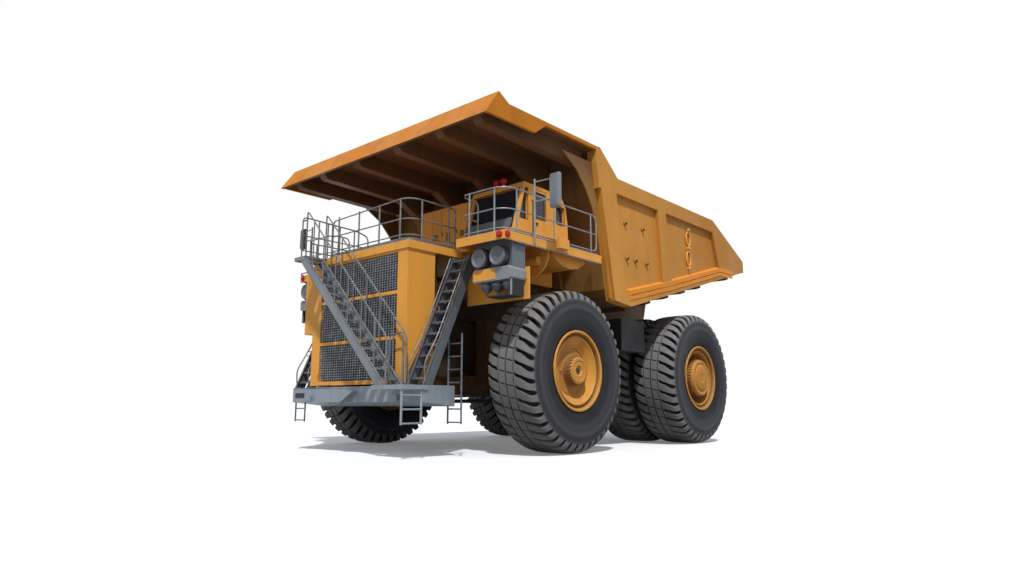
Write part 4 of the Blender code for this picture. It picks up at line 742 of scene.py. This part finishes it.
for side, sign in (("cab", 1), ("right", -1)):
    shells = flight(foot=(2.0, -3.6, 1.615), head=(2.0, -2.2, 4.78), wide=(0.61, 0, 0), depth=(0, 0.27, 0),
                    plate=0.012, flange=0.06, treads=12)
    for x in (2.03, 2.58):
        rail = [(-3.54, BUMPER_Z), (-3.58, 2.08), (-3.2, 2.72), (-2.8, 3.6), (-2.3, 4.74)]
        shells.append(tube(rounded([(x, y, z) for y, z in rail], 0.15), 0.018))
        for y, z in ((-3.24, 2.62), (-2.844, 3.5)):
            hook = [(x, y, z), (x + 0.02, y + 0.17, z), (x + 0.02, y + 0.17, z - 0.12), (x, y - 0.05, z - 0.12)]
            shells.append(tube(rounded(hook, 0.02), 0.011))
    edge = [(3.0, -2.72)] + turn_left(4.235, -2.72, 0.3) + [(4.235, 0.92)]
    shells.append(strip(edge, low=DECK_Z, high=DECK_Z + 0.035, thick=0.012))
    shells.append(strip([(4.256, -2.4), (4.256, 0.92)], low=4.8, high=4.832, thick=0.012))
    stair = put_mesh("side_stair_" + side, mirrored(shells, sign), "cap_slate", "chassis", angle=40)
    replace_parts(stair, side + "_stair")


# Bumper and its ladders
# A welded box beam of galvanised plate, 5.2 m long, with a step plate, a folded tow bracket and three ladders of
# thin bar that hang from it.
weathered("bumper_grey", (0.27, 0.32, 0.385), (0.33, 0.375, 0.43), (0.12, 0.13, 0.145), (0.55, 0.58, 0.62), 0.5,
          metallic=0.3, dust=0.25)
BEAM_HALF_W = 2.61
BEAM_FRONT_Y = -3.62
BEAM_REAR_Y = -2.66
BEAM_TOP_Z = 1.61
LOWEST_RUNG_Z = 0.78
RUNG_STEP = 0.3
beam = [(x, y, z) for x in (-BEAM_HALF_W, BEAM_HALF_W) for y, low in ((BEAM_FRONT_Y, 1.24), (BEAM_REAR_Y, 1.14))
        for z in (low, BEAM_TOP_Z)]
tow_bracket = [(x, y, z) for x, low in ((-0.36, 1.2), (0.19, 1.495)) for y in (-3.76, -3.6) for z in (low, 1.5)]
shells = [
    hexes([beam]), hexes([tow_bracket]),
    bars([(1.61, -4.27, 1.51), (-1.96, -3.68, 1.27), (1.53, -3.68, 1.27), (-2.62, -3.63, 1.585),
          (-2.62, -3.63, 1.24)],
         [(2.65, -3.52, 1.609), (-1.72, -3.6, 1.4), (1.77, -3.6, 1.4), (1.6, -3.6, 1.614), (-0.9, -3.612, 1.6)])]


def ladder(foot_a, foot_b, top, rungs, radius):
    """Two upright stiles from their feet to the top, and rungs of thinner bar between them."""
    stiles = [tube([foot, (*foot[:2], top)], radius) for foot in (foot_a, foot_b)]
    heights = [LOWEST_RUNG_Z + RUNG_STEP * k for k in range(rungs)]
    return stiles + [tube([(*foot_a[:2], z), (*foot_b[:2], z)], radius * 0.8) for z in heights]


shells += ladder((2.6, -4.22, 0.75), (2.6, -3.66, 0.75), top=1.56, rungs=3, radius=0.026)
ladders = (ladder((2.38, -2.65, 0.74), (2.82, -2.65, 0.74), top=2.82, rungs=7, radius=0.023)
           + ladder((-2.5, -3.6, 0.74), (-2.06, -3.6, 0.74), top=1.3, rungs=2, radius=0.022))
# Painted shade: a near-black plate on the beam's face stands for the shade inside a slot above the short ladder
slot = [bars([(-2.5, -3.634, 1.35)], [(-2.07, -3.628, 1.48)])]
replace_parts(put_mesh("bumper_beam", shells, "bumper_grey", "chassis"), "bumper")
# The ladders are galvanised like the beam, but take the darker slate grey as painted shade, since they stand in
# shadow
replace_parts(put_mesh("bumper_ladders", ladders, "cap_slate", "chassis", angle=40), "bumper")
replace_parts(put_mesh("bumper_slot_shade", slot, "dark_paint", "chassis"), "bumper")


# Deck guard rails and mirrors
# Round tube on three levels with posts bolted to the deck's edge, hooped down at the rear end; a tall mirror in a
# plain dark housing hangs outside on two arms from a post fixed to the deck's side.
LOW_RAIL_Z = 5.12
MIDDLE_RAIL_Z = 5.58
HIGH_RAIL_Z = 6.08
GATE_X = 2.78
RAIL_X = 4.2
RAIL_REAR_Y = 0.88
MIRROR_POST_X = 4.28
MIRROR_OUT_X = 4.98
# A mirror's housing as rings of its edge, each (share of its size, Y from the arms)
HOUSING = ((0.05, 0.01), (0.86, 0.01), (1.0, 0.05), (1.0, 0.12), (0.9, 0.125), (0.05, 0.115))
# One row a side: front line, then the mirror's Y, lowest and highest Z, half width and finish
for side, sign, front_y, mirror_y, low, high, half, mirror_finish in (
        ("cab", 1, -2.72, -1.75, 5.66, 6.48, 0.14, "galvanised_grey"),
        ("right", -1, -2.52, -2.24, 6.02, 6.68, 0.11, "cap_slate")):
    gate_y = front_y + 0.61
    line = [(2.95, front_y)] + turn_left(RAIL_X, front_y, 0.4)
    inner = [(GATE_X, gate_y), (GATE_X, front_y + 0.17)]
    rise = rounded([(GATE_X, gate_y, DECK_Z), (GATE_X, gate_y, HIGH_RAIL_Z), (*inner[1], HIGH_RAIL_Z)], 0.16)
    hoop = [(0.4, HIGH_RAIL_Z), (RAIL_REAR_Y, HIGH_RAIL_Z), (RAIL_REAR_Y, LOW_RAIL_Z), (0.4, LOW_RAIL_Z),
            (front_y + 0.4, LOW_RAIL_Z)]
    back = rounded([(RAIL_X, y, z) for y, z in hoop], 0.2)
    shells = [tube([*rise, *at_height(line, HIGH_RAIL_Z), *back], TUBE_R),
              tube(at_height(inner + line + [(RAIL_X, RAIL_REAR_Y)], MIDDLE_RAIL_Z), 0.017),
              tube(at_height(inner + line, LOW_RAIL_Z), 0.017)]
    shells += posts([(3.09, front_y), (3.89, front_y)] + [(RAIL_X, y) for y in (front_y + 0.42, -0.91, 0.64)],
                    HIGH_RAIL_Z)
    middle = MIRROR_OUT_X - half
    shells.append(tube([(MIRROR_POST_X, mirror_y, 4.87), (MIRROR_POST_X, mirror_y, high - 0.05)], 0.025))
    shells.append(bars([(RAIL_X - 0.01, mirror_y - 0.012, z - 0.012) for z in (MIDDLE_RAIL_Z, HIGH_RAIL_Z)],
                       [(MIRROR_POST_X, mirror_y + 0.012, z + 0.012) for z in (MIDDLE_RAIL_Z, HIGH_RAIL_Z)]))
    shells += [tube([(MIRROR_POST_X, mirror_y, z), (middle, mirror_y + 0.05, z)], 0.017)
               for z in (low + 0.22, high - 0.12)]
    corners = ((0, low), (-half, low), (-half, high), (half, high), (half, low), (0, low))
    edge = rounded([(middle + x, z) for x, z in corners], 0.03)[:-1]
    centre = np.array([middle, (low + high) / 2])
    housing = np.array([[(x, mirror_y + y, z) for x, z in centre + (edge - centre) * share] for share, y in HOUSING])
    mirror = [(housing.reshape(-1, 3), grid_faces(len(HOUSING), len(edge), wrap_rows=True, wrap_columns=True))]
    rail = put_mesh("guard_rail_" + side, mirrored(shells, sign), "galvanised_grey", "chassis", angle=40)
    glass = put_mesh("mirror_" + side, mirrored(mirror, sign), mirror_finish, "chassis", angle=40)
    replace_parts(rail, side + "_rail")
    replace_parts(glass, side + "_rail")


# Grille
# Three tiers of galvanised flat-bar mesh in front of the dark radiator core, each tier framed by the orange house
# and pressed into its opening.
GRILLE_HALF_W = 1.559
GRILLE_Y = -3.558
COLUMNS = 32
UPRIGHT_HALF_W = 0.009
CROSS_HALF_H = 0.0065
BAR_THICK = 0.006
# One row a tier: its foot, its top and the number of meshes between them
TIERS = ((1.76, 2.69, 15), (2.77, 3.77, 16), (3.85, 4.77, 15))
xs = np.linspace(-GRILLE_HALF_W, GRILLE_HALF_W, COLUMNS + 1)[1:-1]
lows, highs = [], []
for foot, top, rows in TIERS:
    zs = np.linspace(foot, top, rows + 1)[1:-1]
    lows += [(x - UPRIGHT_HALF_W, GRILLE_Y, foot) for x in xs]
    lows += [(-GRILLE_HALF_W, GRILLE_Y - BAR_THICK, z - CROSS_HALF_H) for z in zs]
    highs += [(x + UPRIGHT_HALF_W, GRILLE_Y + BAR_THICK, top) for x in xs]
    highs += [(GRILLE_HALF_W, GRILLE_Y, z + CROSS_HALF_H) for z in zs]
put_mesh("grille_mesh", [bars(lows, highs)], "galvanised_grey", "chassis")


# Air cleaners
# Two round canisters with dished slate-grey caps and dark clamp rings in a shroud under each side deck, over a tray
# with chamfered ends and three moulded dust bowls.
TRAY = [(3.06, 4.01), (3.06, 4.2), (3.11, 4.26), (4.17, 4.26), (4.22, 4.2), (4.22, 4.01), (4.17, 3.96), (3.11, 3.96)]
CANISTER_Y = -2.42
CANISTER_Z = 4.51
CLAMP = [(0, 0.2), (0, 0.25), (0.035, 0.25), (0.035, 0.2)]
CAP = [(0, 0.225), (0.2, 0.225), (0.225, 0.218), (0.232, 0.203), (0.222, 0.18), (0.2, 0.16), (0.195, 0.1),
       (0.205, 0.05), (0.207, 0.012)]
BOWL = [(0, 0.09), (0.05, 0.1), (0.06, 0.15), (0.12, 0.152), (0.135, 0.13), (0.2, 0.1), (0.24, 0.05), (0.25, 0.03),
        (0.33, 0.028)]
canisters = [(x, CANISTER_Y, CANISTER_Z) for x in (3.31, 3.88)]
tray = np.array([[(x, y, z) for x, z in TRAY] for y in (-2.56, -1.99)])
clamps = [bars([(4.165, -2.46, 3.6), (3.45, -2.5, 3.6)], [(4.195, -2.05, 3.97), (4.17, -2.05, 3.63)])]
clamps += [lathe([(along + step, radius) for along, radius in CLAMP], place, (0, -1, 0), 40)
           for place in canisters for step in (0.03, 0.12)]
# One row a piece: its name, shells, finish, slot and smoothing angle
CLEANER = (
    ("shroud", [bars([(3.04, -2.43, 4.2)], [(4.18, -1.99, 4.979)])], "cap_slate", "galvanised_grey", 35),
    ("tray", [(tray.reshape(-1, 3), rings(2, len(TRAY))), bars([(4.17, -2.5, 3.6)], [(4.2, -2.46, 3.97)])],
     "galvanised_grey", None, 35),
    ("clamps", clamps, "dark_paint", None, 35),
    ("caps", [lathe(CAP, place, (0, -1, 0), 40) for place in canisters]
     + [lathe(BOWL, (x, -2.34, 3.97), (0, 0, -1), 24) for x in (3.32, 3.66, 4.0)],
      "cap_slate", "galvanised_grey", 35),
    ("plate", [bars([(3.1, -2.568, 3.99)], [(3.78, -2.56, 4.24)])], "orange_paint", None, None))
for side, sign in SIDES:
    for name, shells, finish, slot, angle in CLEANER:
        piece = put_mesh("air_cleaner_" + side + "_" + name, mirrored(shells, sign), finish, "chassis", angle)
        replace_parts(piece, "air_cleaner_" + side)


# Cab trim
# Black rubber seals round the windows, a slate-grey band along the windscreen's foot, a recessed door handle and
# grab rail, and dark door gaps on the cabinets beside the cab, with louvres whose slots are dark bars of painted
# shade.
CAB_SIDE_X = 3.6
CABINET_FRONT_Y = -0.8
LOUVRE_STEP = 0.035


def seal(corners, radius=0.05, thick=0.009):
    """A rubber cord round an opening, from its corners in order, with rounded turns."""
    corners = np.array(corners, float)
    start = (corners[0] + corners[-1]) / 2
    return tube(rounded([start, *corners, start], radius)[:-1], thick, 6, closed=True)


shells = [seal([(1.87, -1.675, 5.42), (1.87, -1.362, 6.5), (3.49, -1.362, 6.5), (3.49, -1.675, 5.42)], 0.12, 0.012)]
shells += [seal([(CAB_SIDE_X + 0.001, y, z) for y, z in window]) for window in (
    ((-0.93, 5.8), (-0.93, 6.46), (-0.48, 6.46), (-0.48, 5.8)),
    ((-1.51, 5.69), (-1.28, 6.5), (-1.19, 6.5), (-1.19, 5.69)),
    ((-0.05, 5.8), (-0.05, 6.29), (0.3, 6.29), (0.3, 5.8)))]
shells.append(bars([(CAB_SIDE_X, -0.95, 5.615)], [(CAB_SIDE_X + 0.012, -0.8, 5.67)]))
grab_rail = [(CAB_SIDE_X, 5.35), (CAB_SIDE_X + 0.05, 5.37), (CAB_SIDE_X + 0.05, 6.2), (CAB_SIDE_X, 6.22)]
shells.append(tube(rounded([(x, -1.05, z) for x, z in grab_rail], 0.03), 0.013))
band = slab([(1.9, -1.682, 5.44), (3.46, -1.682, 5.44)], [(1.9, -1.61, 5.69), (3.46, -1.61, 5.69)], (0, -0.004, 0))
put_mesh("windscreen_band", [band], "cap_slate", "chassis")
put_mesh("cab_seals_and_handles", shells, "dark_paint", "chassis", angle=40)

door_gaps = (-0.3, 0.06, 0.64, 1.1)
shells = [bars([(x - 0.005, CABINET_FRONT_Y - 0.004, 5.05) for x in door_gaps],
               [(x + 0.005, CABINET_FRONT_Y + 0.001, 6.62) for x in door_gaps])]
# Painted shade: each louvre's slots are dark bars standing for the shade inside them
for x0, x1, z0, z1 in ((0.25, 0.41, 5.7, 5.99), (0.81, 0.97, 5.79, 5.99), (-0.25, -0.09, 5.81, 5.99)):
    heights = [z0 + k * LOUVRE_STEP for k in range(int((z1 - z0) / LOUVRE_STEP))]
    shells.append(bars([(x0, CABINET_FRONT_Y - 0.008, z) for z in heights],
                       [(x1, CABINET_FRONT_Y, z + 0.02) for z in heights]))
handles = ((0.1, 5.9), (0.67, 5.9), (-0.26, 5.65))
shells.append(bars([(x, CABINET_FRONT_Y - 0.015, z) for x, z in handles],
                   [(x + 0.02, CABINET_FRONT_Y, z + 0.1) for x, z in handles]))
put_mesh("cabinet_door_gaps_and_louvre_shade", shells, "dark_paint", "chassis")


# Beacons
# Two red flashing lamps with ribbed round lenses on short stems, screwed to a plate on the cab's roof.
BEACON = [(0.0, 0.035), (0.1, 0.035), (0.11, 0.07), (0.13, 0.075), (0.14, 0.098), (0.17, 0.1), (0.2, 0.097),
          (0.23, 0.08), (0.25, 0.04), (0.252, 0.01)]
shells = [lathe(BEACON, (x, -1.2, 6.66), (0, 0, 1), 32) for x in (2.58, 2.8)]
shells.append(bars([(2.5, -1.24, 6.638)], [(2.88, -1.16, 6.68)]))
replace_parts(put_mesh("beacon_lenses", shells, "red_lamp", "chassis", angle=40), "beacons")


# Marker lamps
# Round red lenses pressed into the ends of the decks' side boxes, one facing ahead and one out.
LENS = [(-0.01, 0.08), (0.035, 0.08), (0.05, 0.06), (0.056, 0.02)]
for side, sign, front_y in (("cab", 1, -2.785), ("right", -1, -2.585)):
    shells = [lathe(LENS, (4.11, front_y, 4.94), (0, -1, 0), 20),
              lathe(LENS, (4.25, front_y + 0.1, 4.94), (1, 0, 0), 20)]
    put_mesh("marker_lamps_" + side, mirrored(shells, sign), "red_lamp", "chassis", angle=40)


# Body side fittings
# Two oval lashing links hang on pins from each side of the body, five bolts in the dark brown of painted shade
# stand in the side panel, two flat bars in orange with a painted highlight are welded along the lower rail, and a
# plate in the canopy's painted shade braces the canopy to the front wall at each end.
# Painted highlight: a brighter, more saturated orange with little dust, for the sunlit sheen of the lower rail's
# bars
weathered("sunlit_orange", (0.74, 0.24, 0.012), (0.66, 0.25, 0.02), (0.36, 0.13, 0.02), (0.86, 0.55, 0.2), 0.5,
          dust=0.08, streak=0.25)
SIDE_X = 4.12
LINK_X = 4.16
LINK_POINTS = 24
LINK_HALF_Y = 0.13
LINK_PIN = [(0, 0.05), (0.09, 0.05), (0.1, 0.04)]
BOLT = [(0, 0.06), (0.012, 0.06), (0.014, 0.042), (0.08, 0.04), (0.09, 0.03)]
LOWER_RAIL = ((2.36, 4.25), (4.79, 4.84), (8.19, 5.75), (9.17, 5.77))
GUSSET_EDGE = ((-0.4, 7.6), (0.2, 7.25), (0.62, 6.8), (0.9, 6.35), (1.08, 5.85))
turns = [2 * pi * k / LINK_POINTS for k in range(LINK_POINTS)]
links = [tube([(LINK_X, y + LINK_HALF_Y * cos(t), z + half_z * sin(t)) for t in turns], 0.024, 8, closed=True)
         for y, z, half_z in ((6.15, 6.43, 0.225), (6.14, 5.78, 0.235))]
links += [lathe(LINK_PIN, (SIDE_X, y, z), (1, 0, 0), 16) for y, z in ((6.14, 6.12), (6.12, 5.46), (6.15, 6.72))]
bolts = [lathe(BOLT, (SIDE_X + 0.009, y, z), (1, 0, 0), 20)
         for y, z in ((2.4, 6.2), (3.35, 6.2), (2.45, 5.2), (2.9, 5.2), (3.5, 5.2))]
rail_bars = [slab([(SIDE_X + 0.01, y0, z0 + low), (SIDE_X + 0.01, y0, z0 + high)],
                  [(SIDE_X + 0.01, y1, z1 + low), (SIDE_X + 0.01, y1, z1 + high)], (0.135, 0, -0.05))
             for low, high in ((-0.06, 0.07), (-0.2, -0.09))
             for (y0, z0), (y1, z1) in zip(LOWER_RAIL, LOWER_RAIL[1:])]
# The gussets take the canopy's finish, so they are painted dark brown as shade inside the canopy's edge
gusset = hexes([[(x, y, z) for x in (4.05, 4.09) for a, b in ((y0, y1), (1.1, 1.12)) for y, z in ((a, z0), (b, z1))]
                for (y0, z0), (y1, z1) in zip(GUSSET_EDGE, GUSSET_EDGE[1:])])
for side, sign in SIDES:
    put_mesh("body_rail_strips_" + side, mirrored(rail_bars, sign), "sunlit_orange", "dump_body")
    put_mesh("body_pins_" + side, mirrored(bolts, sign), "shaded_paint", "dump_body", angle=40)
    put_mesh("canopy_gusset_" + side, mirrored([gusset], sign), "canopy_paint_with_painted_shade", "dump_body")
    put_mesh("body_links_" + side, mirrored(links, sign), "orange_paint", "dump_body", angle=40)
